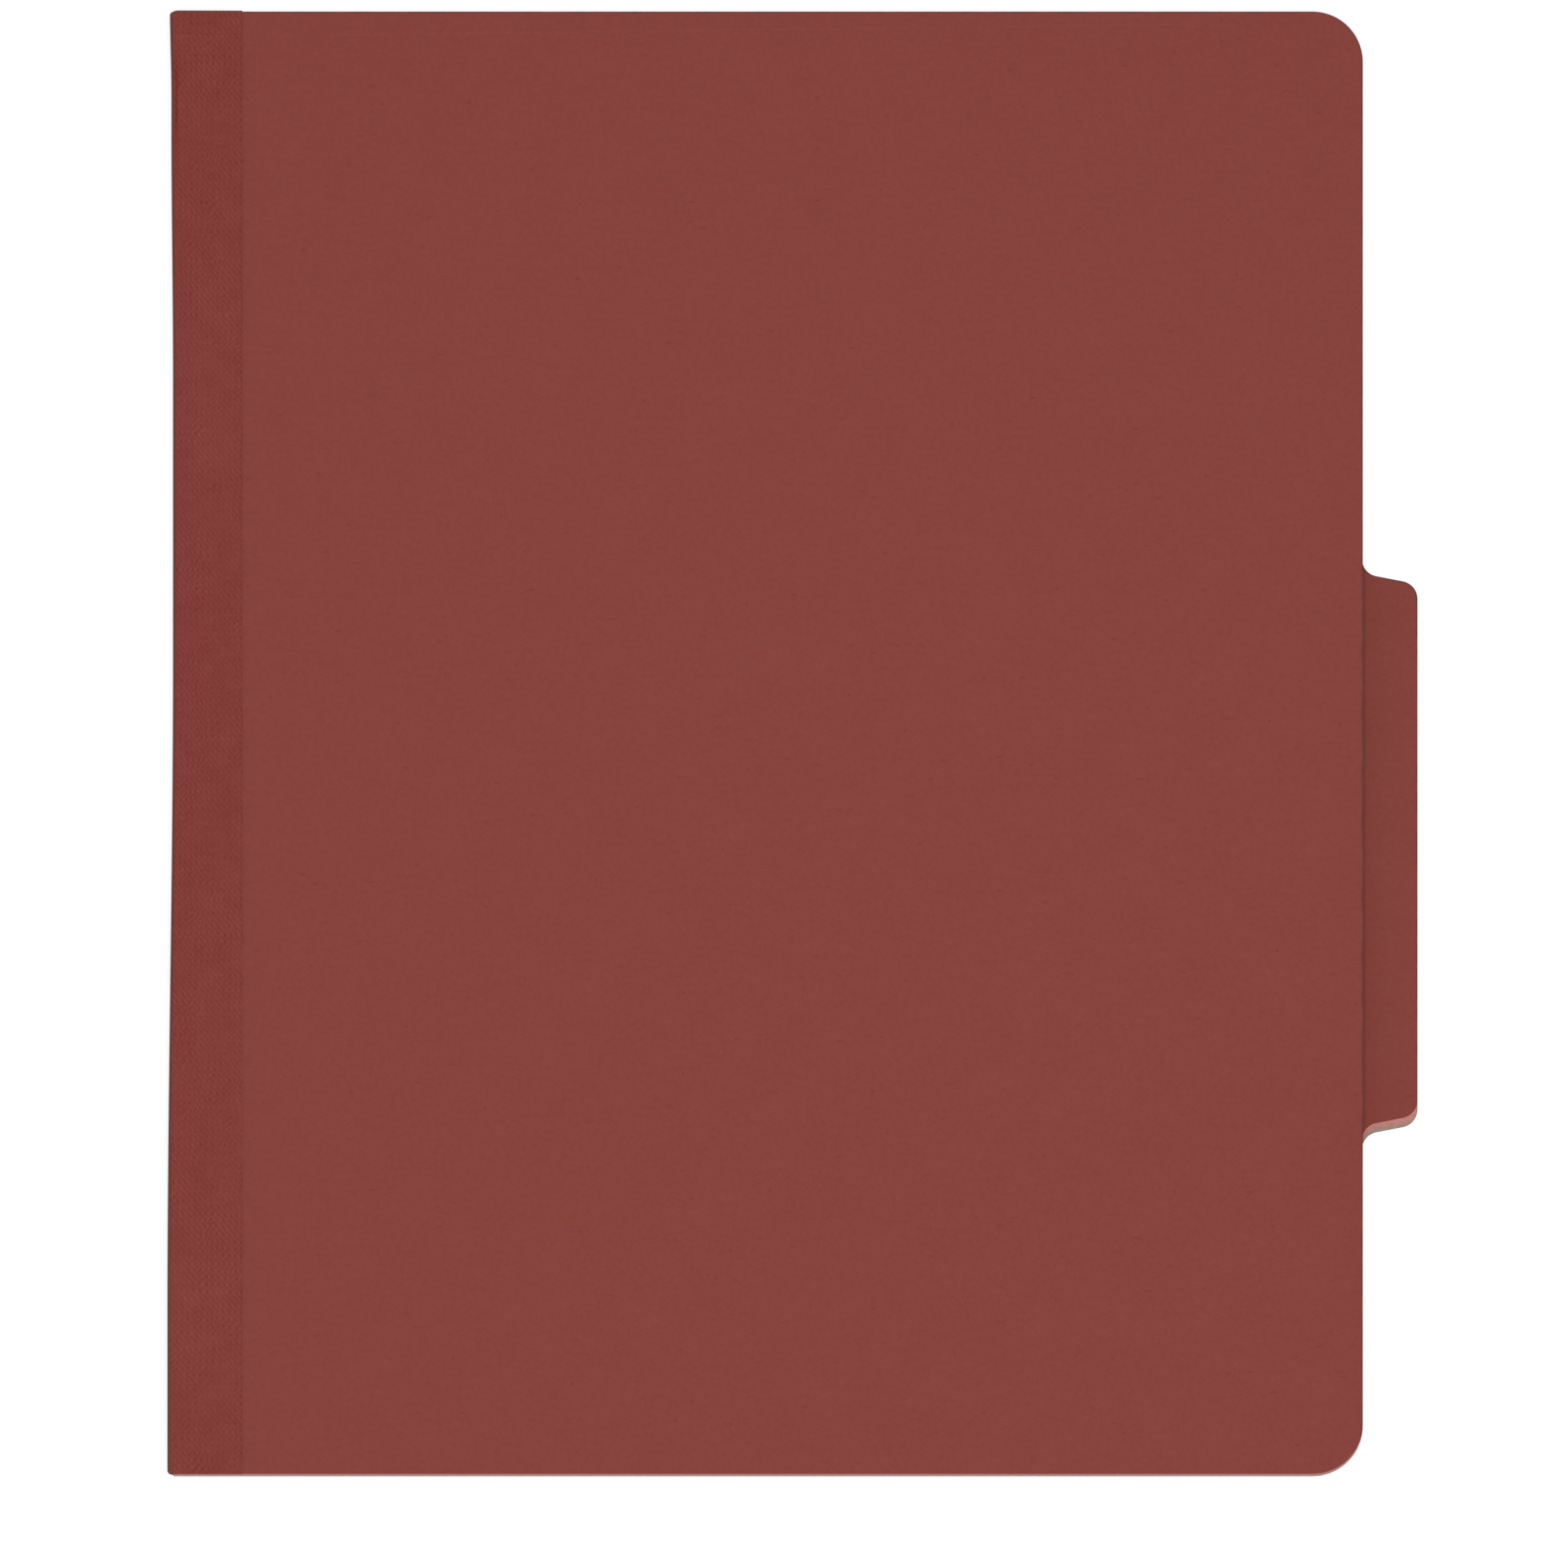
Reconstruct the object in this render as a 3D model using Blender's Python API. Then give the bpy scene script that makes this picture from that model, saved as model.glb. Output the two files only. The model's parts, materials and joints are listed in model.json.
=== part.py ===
"""A closed classification folder lying on its back cover.

Two pressboard covers are joined by a pleated cloth gusset. Two divider leaves hang in the gusset on cloth
hinges, and every inside face carries a two-prong paper fastener. On the covers each fastener also has a
paper patch, a compressor bar and two sliding locks.

Units are metres and +Z is up. The spine runs along Y at low X and the index tab points to +X. The origin is
at the centre of the underside. Sections are drawn from the spine's outer edge, which is x = 0 in the
functions below until `row_x` moves it to the part's own frame.
"""

from dataclasses import dataclass
from math import asin, cos, pi, sin, tan

import bmesh
import bpy
from mathutils import Vector

MM = 0.001

# Covers and index tab
COVER_LENGTH = 298.45 * MM
COVER_WIDTH = 243.1 * MM
CORNER_RADIUS = 10.3 * MM
TAB_REACH = 11.3 * MM
TAB_LENGTH = 115.0 * MM
TAB_BELOW_CENTRE = 22.8 * MM
TAB_TAPER = 2.2 * MM
TAB_ROOT_RADIUS = 2.5 * MM
TAB_CORNER_RADIUS = 4.2 * MM
TAB_SKIVE = 1.9 * MM
LOWER_EDGE_BEVEL = 0.45 * MM

# Sheet thicknesses and the gaps that keep the sheets apart
BOARD = 0.64 * MM
CLOTH = 0.30 * MM
LEAF = 0.46 * MM
STEEL = 0.30 * MM
PATCH = 0.25 * MM
BAR = 0.40 * MM
GLUE_GAP = 0.05 * MM
SLIDE_GAP = 0.15 * MM
LEAF_GAP = 0.35 * MM

# Cloth spine and pleat
SPINE_TAPE_WIDTH = 14.8 * MM
TAPE_LIP_OVER_BOARD = 0.10 * MM
FOLD_RADIUS = 0.30 * MM
GUSSET_PANEL = 25.4 * MM
PANEL_END_GAP = 0.45 * MM
VALLEY_FOLD_RADIUS = 0.85 * MM
VALLEY_END_GAP = 1.25 * MM
HINGE_TAPE_REACH = 17.0 * MM
EDGE_TAPE_WIDTH = 10.0 * MM

# Divider leaves
LEAF_FOLD_PAST_VALLEY = 2.0 * MM
LEAF_SETBACK = 3.2 * MM
LEAF_FORE_SETBACK = 4.0 * MM
LEAF_START_GAP = 0.05 * MM
HINGE_TAPE_END_GAP = 0.10 * MM
EDGE_TAPE_START = 1.20 * MM

# Paper fasteners
PRONG_SPACING = 69.85 * MM
PRONG_LENGTH = 25.4 * MM
PRONG_WIDTH = 5.0 * MM
PRONG_ROOT_GAP = 0.20 * MM
FASTENER_FROM_TOP = 19.0 * MM
BASE_OVERHANG = 8.0 * MM
BASE_WIDTH = 6.5 * MM
PATCH_INSET = 5.0 * MM
PATCH_WIDTH = 18.0 * MM
PATCH_RADIUS = 3.0 * MM
BAR_OVERHANG = 9.0 * MM
BAR_WIDTH = 9.5 * MM
BAR_SLOT_LENGTH = 1.2 * MM
BAR_SLOT_CLEARANCE = 0.30 * MM
LOCK_LENGTH = 8.0 * MM
LOCK_FROM_CENTRE = 5.0 * MM
END_ROUNDING = 0.9

# Smoothness of arcs
CORNER_STEPS = 10
SMALL_STEPS = 5
FOLD_SIDES = 12

# Lengths of a fastener's strips, which follow the spacing of its prongs
BASE_LENGTH = PRONG_SPACING + 2 * BASE_OVERHANG
PATCH_LENGTH = PRONG_SPACING - 2 * PATCH_INSET
BAR_LENGTH = PRONG_SPACING + 2 * BAR_OVERHANG

# Heights inside a cover fastener, from the cover's inside face
BASE_TOP = GLUE_GAP + STEEL
PATCH_LOW = BASE_TOP + GLUE_GAP
LOCK_FLOOR_LOW = PATCH_LOW + PATCH + SLIDE_GAP
LOCK_FLOOR_TOP = LOCK_FLOOR_LOW + STEEL
BAR_LOW = LOCK_FLOOR_TOP + SLIDE_GAP
BAR_TOP = BAR_LOW + BAR
COVER_PRONG_LOW = BAR_TOP + SLIDE_GAP
LOCK_ROOF_LOW = COVER_PRONG_LOW + STEEL + SLIDE_GAP
LOCK_ROOF_TOP = LOCK_ROOF_LOW + STEEL

# Heights inside a leaf fastener, from the leaf's face
LEAF_PRONG_LOW = BASE_TOP + SLIDE_GAP
LEAF_PRONG_TOP = LEAF_PRONG_LOW + STEEL

# The stack from the table up
COVER_SECTION = LOCK_ROOF_TOP + LEAF_GAP + LEAF_PRONG_TOP
LEAF_SECTION = LEAF_PRONG_TOP + LEAF_GAP + LEAF_PRONG_TOP
BACK_LOW = CLOTH + GLUE_GAP
BACK_INSIDE = BACK_LOW + BOARD
DIVIDER_2_LOW = BACK_INSIDE + COVER_SECTION
DIVIDER_2_TOP = DIVIDER_2_LOW + LEAF
DIVIDER_1_LOW = DIVIDER_2_TOP + LEAF_SECTION
DIVIDER_1_TOP = DIVIDER_1_LOW + LEAF
FRONT_INSIDE = DIVIDER_1_TOP + COVER_SECTION
FRONT_TOP = FRONT_INSIDE + BOARD
TOTAL_HEIGHT = FRONT_TOP + GLUE_GAP + CLOTH

# The pleat: both spine folds, and the valley that it folds in to
LIP_TOP = BACK_INSIDE + TAPE_LIP_OVER_BOARD
BACK_FOLD = Vector((FOLD_RADIUS, LIP_TOP + SLIDE_GAP + FOLD_RADIUS))
FRONT_FOLD = Vector((BACK_FOLD.x, TOTAL_HEIGHT - BACK_FOLD.y))
PLEAT_ANGLE = asin((FRONT_FOLD.y - BACK_FOLD.y) / 2 / GUSSET_PANEL)
VALLEY = BACK_FOLD + GUSSET_PANEL * Vector((cos(PLEAT_ANGLE), sin(PLEAT_ANGLE)))
LEAF_FOLD_X = VALLEY.x + LEAF_FOLD_PAST_VALLEY

MID_X = (COVER_WIDTH + TAB_REACH) / 2
HALF_LENGTH = COVER_LENGTH / 2
FASTENER_X = (LEAF_FOLD_X + COVER_WIDTH) / 2
FASTENER_Y = HALF_LENGTH - FASTENER_FROM_TOP

RED_BOARD = ((0.243, 0.058, 0.048), 0.62, 0.0)
RED_CLOTH = ((0.220, 0.048, 0.040), 0.75, 0.0)
KRAFT_BOARD = ((0.400, 0.250, 0.130), 0.80, 0.0)
WHITE_PAPER = ((0.640, 0.600, 0.520), 0.85, 0.0)
TINNED_STEEL = ((0.560, 0.560, 0.560), 0.32, 1.0)


@dataclass
class Body:
    """A group of pieces that moves as one, about an empty on its joint's axis."""

    empty: bpy.types.Object
    pivot: Vector


def row_x(x):
    """X in the part's frame of a distance from the spine's outer edge."""
    return x - MID_X


def clear_scene():
    for obj in list(bpy.data.objects):
        bpy.data.objects.remove(obj, do_unlink=True)


def add_body(name, section_point, parent=None, y=0.0):
    """An empty on a joint's axis, given as a point of the section, hung from its parent's empty."""
    pivot = Vector((row_x(section_point[0]), y, section_point[1]))
    empty = bpy.data.objects.new(name + "_pivot", None)
    bpy.context.scene.collection.objects.link(empty)
    empty.parent = parent.empty if parent else None
    empty.location = pivot - (parent.pivot if parent else Vector())
    return Body(empty, pivot)


def finish(name, look):
    """A Principled material for one piece."""
    colour, roughness, metallic = look
    material = bpy.data.materials.new(name + "_finish")
    material.use_nodes = True
    shader = material.node_tree.nodes["Principled BSDF"]
    shader.inputs["Base Color"].default_value = (*colour, 1.0)
    shader.inputs["Roughness"].default_value = roughness
    shader.inputs["Metallic"].default_value = metallic
    material.diffuse_color = (*colour, 1.0)
    return material


def add_piece(name, body, bm, look):
    """A named object on its body's empty, from a mesh that is drawn in the part's frame."""
    bmesh.ops.translate(bm, verts=bm.verts, vec=-body.pivot)
    bmesh.ops.recalc_face_normals(bm, faces=bm.faces)
    mesh = bpy.data.meshes.new(name)
    bm.to_mesh(mesh)
    bm.free()
    mesh.materials.append(finish(name, look))
    piece = bpy.data.objects.new(name, mesh)
    bpy.context.scene.collection.objects.link(piece)
    piece.parent = body.empty
    return piece


def extrude(polygons, place, low, high, far_polygons=None):
    """A solid between two heights over flat polygons that share corners.

    `place` turns (u, v, height) into a point of the part. `far_polygons`, with as many corners as
    `polygons`, gives the outline at the high end where it differs.
    """
    bm = bmesh.new()
    far_points = {}
    corners = {}
    for number, polygon in enumerate(polygons):
        face = []
        for index, point in enumerate(polygon):
            if point not in corners:
                corners[point] = bm.verts.new(place(*point, low))
                far = far_polygons[number][index] if far_polygons else point
                far_points[corners[point]] = place(*far, high)
            face.append(corners[point])
        bm.faces.new(face)
    bm.verts.index_update()
    ends = [far_points[vert] for vert in bm.verts]
    near_ends = [vert.co.copy() for vert in bm.verts]
    made = bmesh.ops.extrude_face_region(bm, geom=bm.faces[:], use_keep_orig=True)
    for vert in [item for item in made["geom"] if isinstance(item, bmesh.types.BMVert)]:
        nearest = min(range(len(near_ends)), key=lambda i: (near_ends[i] - vert.co).length)
        vert.co = ends[nearest]
    return bm


def flat(u, v, height):
    """Places an outline drawn in plan."""
    return Vector((row_x(u), v, height))


def along_spine(u, v, height):
    """Places a section, which is drawn as distance from the spine's edge and height, along Y."""
    return Vector((row_x(u), height, v))


def rounded(corners, radii, steps):
    """A closed outline through `corners`, each rounded by an arc of its own radius."""
    points = []
    count = len(corners)
    for index, corner in enumerate(corners):
        radius = radii[index]
        here = Vector(corner)
        if radius == 0.0:
            points.append((here.x, here.y))
            continue
        back = (Vector(corners[index - 1]) - here).normalized()
        ahead = (Vector(corners[(index + 1) % count]) - here).normalized()
        half_angle = back.angle(ahead) / 2
        centre = here + (back + ahead).normalized() * radius / sin(half_angle)
        start = here + back * radius / tan(half_angle) - centre
        end = here + ahead * radius / tan(half_angle) - centre
        turn = start.angle_signed(end)
        for step in range(steps + 1):
            angle = -turn * step / steps
            turned = Vector(
                (
                    start.x * cos(angle) - start.y * sin(angle),
                    start.x * sin(angle) + start.y * cos(angle),
                )
            )
            points.append((centre.x + turned.x, centre.y + turned.y))
    return points


def rectangle(u_low, u_high, v_low, v_high):
    return [(u_low, v_low), (u_high, v_low), (u_high, v_high), (u_low, v_high)]


def strip_section(start, end, start_gap, end_gap, thickness):
    """The section of a flat strip between two axes, held off each by a gap."""
    along = (end - start).normalized()
    across = Vector((-along.y, along.x)) * thickness / 2
    first = start + along * start_gap
    last = end - along * end_gap
    return [tuple(first - across), tuple(last - across), tuple(last + across), tuple(first + across)]


def cover_outline(lower_edge):
    """The front cover's outline, with its lower edge raised by `lower_edge`."""
    left = CLOTH + GLUE_GAP
    low = lower_edge - HALF_LENGTH
    corners = rectangle(left, COVER_WIDTH, low, HALF_LENGTH)
    return rounded(corners, (0.0, CORNER_RADIUS, CORNER_RADIUS, 0.0), CORNER_STEPS)


def tabbed_outline(skive):
    """The back cover's outline, with the tab's lower shoulder raised by `skive`."""
    left = CLOTH + GLUE_GAP
    upper = TAB_LENGTH / 2 - TAB_BELOW_CENTRE
    lower = skive - TAB_LENGTH / 2 - TAB_BELOW_CENTRE
    tab_edge = COVER_WIDTH + TAB_REACH
    corners = [
        (left, -HALF_LENGTH),
        (COVER_WIDTH, -HALF_LENGTH),
        (COVER_WIDTH, lower),
        (tab_edge, lower + TAB_TAPER),
        (tab_edge, upper - TAB_TAPER),
        (COVER_WIDTH, upper),
        (COVER_WIDTH, HALF_LENGTH),
        (left, HALF_LENGTH),
    ]
    radii = (
        0.0,
        CORNER_RADIUS,
        TAB_ROOT_RADIUS,
        TAB_CORNER_RADIUS,
        TAB_CORNER_RADIUS,
        TAB_ROOT_RADIUS,
        CORNER_RADIUS,
        0.0,
    )
    return rounded(corners, radii, CORNER_STEPS)


def make_covers(back, front):
    """Both boards. The back one carries the tab, which is skived along its lower edge."""
    bm = extrude([tabbed_outline(0.0)], flat, BACK_LOW, BACK_INSIDE, [tabbed_outline(TAB_SKIVE)])
    add_piece("back_cover", back, bm, RED_BOARD)
    bevelled = cover_outline(LOWER_EDGE_BEVEL)
    bm = extrude([cover_outline(0.0)], flat, FRONT_INSIDE, FRONT_TOP, [bevelled])
    add_piece("front_cover", front, bm, RED_BOARD)


def make_spine_tapes(back, front):
    """The cloth on the outside of each cover, with the lip that wraps over the board's spine edge."""
    section = [
        (0.0, 0.0),
        (SPINE_TAPE_WIDTH, 0.0),
        (SPINE_TAPE_WIDTH, CLOTH),
        (CLOTH, CLOTH),
        (CLOTH, LIP_TOP),
        (0.0, LIP_TOP),
    ]
    mirrored = [(u, TOTAL_HEIGHT - v) for u, v in section]
    for name, body, shape in (("back", back, section), ("front", front, mirrored)):
        bm = extrude([shape], along_spine, -HALF_LENGTH, HALF_LENGTH)
        add_piece(name + "_spine_tape", body, bm, RED_CLOTH)


def make_gusset(root, gusset_back, gusset_front):
    """Both panels of the pleat and the rolled folds at its three creases."""
    panels = (
        ("gusset_back_panel", gusset_back, BACK_FOLD),
        ("gusset_front_panel", gusset_front, FRONT_FOLD),
    )
    for name, body, spine_fold in panels:
        section = strip_section(spine_fold, VALLEY, PANEL_END_GAP, VALLEY_END_GAP, CLOTH)
        bm = extrude([section], along_spine, -HALF_LENGTH, HALF_LENGTH)
        add_piece(name, body, bm, RED_CLOTH)
    folds = (
        ("back_spine_fold", root, BACK_FOLD, FOLD_RADIUS),
        ("gusset_centre_fold", gusset_back, VALLEY, VALLEY_FOLD_RADIUS),
        ("front_spine_fold", gusset_front, FRONT_FOLD, FOLD_RADIUS),
    )
    for name, body, centre, radius in folds:
        turns = [2 * pi * side / FOLD_SIDES for side in range(FOLD_SIDES)]
        section = [(centre.x + radius * cos(turn), centre.y + radius * sin(turn)) for turn in turns]
        bm = extrude([section], along_spine, -HALF_LENGTH, HALF_LENGTH)
        add_piece(name, body, bm, RED_CLOTH)


def hinge_anchor(fold, rise):
    """The axis that a divider turns about, on the inside face of the panel that starts at `fold`."""
    along = Vector((cos(PLEAT_ANGLE), rise * sin(PLEAT_ANGLE)))
    inward = Vector((sin(PLEAT_ANGLE), -rise * cos(PLEAT_ANGLE)))
    return fold + along * HINGE_TAPE_REACH + inward * (CLOTH + SLIDE_GAP)


def make_divider(name, body, anchor, low, top, tape_above):
    """A leaf, the cloth that hinges it to the pleat, and the cloth along its spine edge."""
    fold = Vector((LEAF_FOLD_X, (low + top) / 2))
    half = HALF_LENGTH - LEAF_SETBACK
    section = strip_section(anchor, fold, 0.0, HINGE_TAPE_END_GAP, CLOTH)
    bm = extrude([section], along_spine, -half, half)
    add_piece(name + "_hinge_tape", body, bm, RED_CLOTH)
    corners = rectangle(LEAF_FOLD_X + LEAF_START_GAP, COVER_WIDTH - LEAF_FORE_SETBACK, -half, half)
    outline = rounded(corners, (0.0, CORNER_RADIUS, CORNER_RADIUS, 0.0), CORNER_STEPS)
    add_piece(name + "_leaf", body, extrude([outline], flat, low, top), KRAFT_BOARD)
    start = LEAF_FOLD_X + EDGE_TAPE_START
    tape_low = top + GLUE_GAP if tape_above else low - GLUE_GAP - CLOTH
    outline = rectangle(start, start + EDGE_TAPE_WIDTH, -half, half)
    bm = extrude([outline], flat, tape_low, tape_low + CLOTH)
    add_piece(name + "_edge_tape", body, bm, RED_CLOTH)


def fastener_point(face, up):
    """A placer for fastener pieces: u and v from its centre, and height off a leaf's face."""

    def place(u, v, height):
        return Vector((row_x(FASTENER_X + u), FASTENER_Y + v, face + up * height))

    return place


def make_prongs(name, parent, face, up, low):
    """Two prongs folded flat towards each other, each on its own axis at its root."""
    place = fastener_point(face, up)
    half = PRONG_WIDTH / 2
    for label, toward in (("inner", 1), ("outer", -1)):
        root = -toward * PRONG_SPACING / 2
        axis = (FASTENER_X + root, face + up * (low + STEEL / 2))
        body = add_body(f"{name}_prong_{label}", axis, parent, FASTENER_Y)
        near = root + toward * PRONG_ROOT_GAP
        tip = root + toward * PRONG_LENGTH
        corners = rectangle(min(near, tip), max(near, tip), -half, half)
        bend = half * END_ROUNDING
        tip_radii = (0.0, bend, bend, 0.0) if toward > 0 else (bend, 0.0, 0.0, bend)
        outline = rounded(corners, tip_radii, SMALL_STEPS)
        bm = extrude([outline], place, low, low + STEEL)
        add_piece(f"{name}_prong_{label}", body, bm, TINNED_STEEL)


def make_leaf_fastener(name, parent, face, up):
    """A plain fastener on a divider leaf: its base strip and its prongs."""
    half_length, half_width = BASE_LENGTH / 2, BASE_WIDTH / 2
    corners = rectangle(-half_length, half_length, -half_width, half_width)
    outline = rounded(corners, [half_width * END_ROUNDING] * len(corners), SMALL_STEPS)
    bm = extrude([outline], fastener_point(face, up), GLUE_GAP, BASE_TOP)
    add_piece(name + "_fastener_base", parent, bm, TINNED_STEEL)
    make_prongs(name, parent, face, up, LEAF_PRONG_LOW)


def make_cover_fastener(name, parent, face, up):
    """A fastener inside a cover: base with risers, paper patch, compressor bar, prongs and locks."""
    place = fastener_point(face, up)
    root, half_steel = PRONG_SPACING / 2, STEEL / 2

    def across(u, height, v):
        return place(u, v, height)

    half_base = BASE_LENGTH / 2
    section = [(-half_base, GLUE_GAP), (half_base, GLUE_GAP), (half_base, BASE_TOP)]
    for riser in (root, -root):
        section += [(riser + half_steel, BASE_TOP), (riser + half_steel, BAR_TOP)]
        section += [(riser - half_steel, BAR_TOP), (riser - half_steel, BASE_TOP)]
    section.append((-half_base, BASE_TOP))
    bm = extrude([section], across, -BASE_WIDTH / 2, BASE_WIDTH / 2)
    add_piece(name + "_fastener_base", parent, bm, TINNED_STEEL)

    corners = rectangle(-PATCH_LENGTH / 2, PATCH_LENGTH / 2, -PATCH_WIDTH / 2, PATCH_WIDTH / 2)
    outline = rounded(corners, [PATCH_RADIUS] * len(corners), SMALL_STEPS)
    add_piece(
        name + "_fastener_patch",
        parent,
        extrude([outline], place, PATCH_LOW, PATCH_LOW + PATCH),
        WHITE_PAPER,
    )

    slot_u, slot_v = BAR_SLOT_LENGTH / 2, BASE_WIDTH / 2 + BAR_SLOT_CLEARANCE
    columns = (-BAR_LENGTH / 2, -root - slot_u, slot_u - root, root - slot_u, root + slot_u, BAR_LENGTH / 2)
    rows = (-BAR_WIDTH / 2, -slot_v, slot_v, BAR_WIDTH / 2)
    slots = ((1, 1), (3, 1))
    bm = extrude(cells(columns, rows, slots), place, BAR_LOW, BAR_TOP)
    add_piece(name + "_compressor_bar", parent, bm, TINNED_STEEL)

    make_prongs(name, parent, face, up, COVER_PRONG_LOW)

    inside = BAR_WIDTH / 2 + SLIDE_GAP
    outside = inside + STEEL
    columns = (-outside, -inside, inside, outside)
    rows = (LOCK_FLOOR_LOW, LOCK_FLOOR_TOP, LOCK_ROOF_LOW, LOCK_ROOF_TOP)

    def through(v, height, u):
        return place(u, v, height)

    for label, side in (("inner", -1), ("outer", 1)):
        middle = side * LOCK_FROM_CENTRE
        centre = (FASTENER_X + middle, face + up * (LOCK_FLOOR_LOW + LOCK_ROOF_TOP) / 2)
        body = add_body(f"{name}_lock_{label}", centre, parent, FASTENER_Y)
        low, high = middle - LOCK_LENGTH / 2, middle + LOCK_LENGTH / 2
        bm = extrude(cells(columns, rows, ((1, 1),)), through, low, high)
        add_piece(f"{name}_lock_{label}", body, bm, TINNED_STEEL)


def cells(columns, rows, holes):
    """The rectangles between columns and rows, leaving out the holes."""
    return [
        rectangle(columns[i], columns[i + 1], rows[j], rows[j + 1])
        for i in range(len(columns) - 1)
        for j in range(len(rows) - 1)
        if (i, j) not in holes
    ]


def main():
    clear_scene()
    back = add_body("back_cover", (MID_X, 0.0))
    gusset_back = add_body("gusset_back", BACK_FOLD, back)
    gusset_front = add_body("gusset_front", VALLEY, gusset_back)
    front = add_body("front_cover", FRONT_FOLD, gusset_front)
    make_covers(back, front)
    make_spine_tapes(back, front)
    make_gusset(back, gusset_back, gusset_front)

    dividers = (
        ("divider_1", gusset_front, hinge_anchor(FRONT_FOLD, -1), DIVIDER_1_LOW, DIVIDER_1_TOP, True),
        ("divider_2", gusset_back, hinge_anchor(BACK_FOLD, 1), DIVIDER_2_LOW, DIVIDER_2_TOP, False),
    )
    for name, panel, anchor, low, top, tape_above in dividers:
        divider = add_body(name, anchor, panel)
        make_divider(name, divider, anchor, low, top, tape_above)
        make_leaf_fastener(name + "_front", divider, top, 1)
        make_leaf_fastener(name + "_back", divider, low, -1)
    make_cover_fastener("front_cover", front, FRONT_INSIDE, -1)
    make_cover_fastener("back_cover", back, BACK_INSIDE, 1)


if __name__ == "__main__":
    main()
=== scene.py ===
"""Looks of a closed classification folder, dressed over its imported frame.

The boards, the spine cloth, the divider leaves and the paper fasteners are built as meshes, in metres and in
the frame's own axes. The picture looks straight down on the front cover, with the taped spine at the left and
the index tab at the right.
"""

from __future__ import annotations

import json
import logging
from collections.abc import Callable, Sequence
from dataclasses import dataclass
from enum import Enum
from math import asin, copysign, cos, pi, radians, sin, sqrt, tan

import bmesh
import bpy
from mathutils import Matrix, Vector

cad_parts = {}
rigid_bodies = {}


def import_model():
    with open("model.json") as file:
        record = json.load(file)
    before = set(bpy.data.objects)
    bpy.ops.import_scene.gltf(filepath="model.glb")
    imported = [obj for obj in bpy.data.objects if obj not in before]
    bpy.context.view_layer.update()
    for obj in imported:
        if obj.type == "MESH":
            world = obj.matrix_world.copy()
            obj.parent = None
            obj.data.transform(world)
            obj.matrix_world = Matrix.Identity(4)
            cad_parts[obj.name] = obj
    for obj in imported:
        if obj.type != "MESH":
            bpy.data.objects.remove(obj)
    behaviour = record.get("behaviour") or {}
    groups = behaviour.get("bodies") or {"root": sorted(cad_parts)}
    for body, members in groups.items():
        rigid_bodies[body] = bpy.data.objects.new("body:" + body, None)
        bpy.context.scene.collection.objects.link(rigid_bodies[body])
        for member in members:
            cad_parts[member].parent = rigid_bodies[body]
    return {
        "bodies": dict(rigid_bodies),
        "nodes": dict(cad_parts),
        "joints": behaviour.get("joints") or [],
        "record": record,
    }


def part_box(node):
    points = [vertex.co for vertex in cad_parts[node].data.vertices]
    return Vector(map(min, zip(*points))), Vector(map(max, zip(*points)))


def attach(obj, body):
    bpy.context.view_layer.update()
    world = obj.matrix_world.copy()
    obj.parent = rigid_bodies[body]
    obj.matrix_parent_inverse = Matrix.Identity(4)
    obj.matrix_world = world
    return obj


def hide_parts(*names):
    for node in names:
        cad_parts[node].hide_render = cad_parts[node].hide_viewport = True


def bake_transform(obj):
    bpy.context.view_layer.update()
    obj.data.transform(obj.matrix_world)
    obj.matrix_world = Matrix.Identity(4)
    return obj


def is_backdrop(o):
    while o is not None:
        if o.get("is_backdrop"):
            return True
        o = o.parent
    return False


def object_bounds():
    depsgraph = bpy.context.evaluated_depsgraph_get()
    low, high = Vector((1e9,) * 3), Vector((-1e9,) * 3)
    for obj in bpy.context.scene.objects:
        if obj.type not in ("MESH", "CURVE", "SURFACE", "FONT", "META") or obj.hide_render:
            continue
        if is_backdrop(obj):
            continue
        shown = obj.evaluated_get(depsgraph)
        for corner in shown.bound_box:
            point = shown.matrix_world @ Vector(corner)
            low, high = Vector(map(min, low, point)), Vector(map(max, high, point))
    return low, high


LOG = logging.getLogger("folder")
MM = 0.001
SHARP_ANGLE = radians(28.0)
WEAVE = "weave"
EDGE_SHARE = "edge_share"

Colour = tuple[float, float, float]
Place = tuple[float, float, float]
Span = tuple[float, float]
Material = bpy.types.Material
Piece = bpy.types.Object
Socket = bpy.types.NodeSocket
Ring = list[bmesh.types.BMVert]


class Facing(Enum):
    """The way that a cover's or a leaf's side faces while the folder is closed."""

    UP = 1.0
    DOWN = -1.0


class Band(Enum):
    """Which finish a band of a plate takes. The value is its material slot."""

    FACE = 0
    EDGE = 1
    RIM = 2


class Side(Enum):
    """Which of a fastener's two prongs or locks a piece is: the spine's or the fore edge's."""

    INNER = "inner"
    OUTER = "outer"


class Slot(Enum):
    """The record's material slots."""

    PRESSBOARD = "pressboard"
    CLOTH = "cloth_tape"
    LEAF = "divider_board"
    PAPER = "patch_paper"
    STEEL = "tinned_steel"


# Shapes


def smoothstep(span: Span, value: float) -> float:
    """Eases from 0 to 1 over a span.

    Args:
        span: Where it starts and ends.
        value: The place to ease at.

    Returns:
        The eased value.
    """
    start, end = span
    share = min(max((value - start) / (end - start), 0.0), 1.0)
    return share * share * (3.0 - 2.0 * share)


def fade(span: Span, value: float) -> float:
    """Eases from 1 at a span's start to 0 at its end."""
    return 1.0 - smoothstep(span, value)


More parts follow.
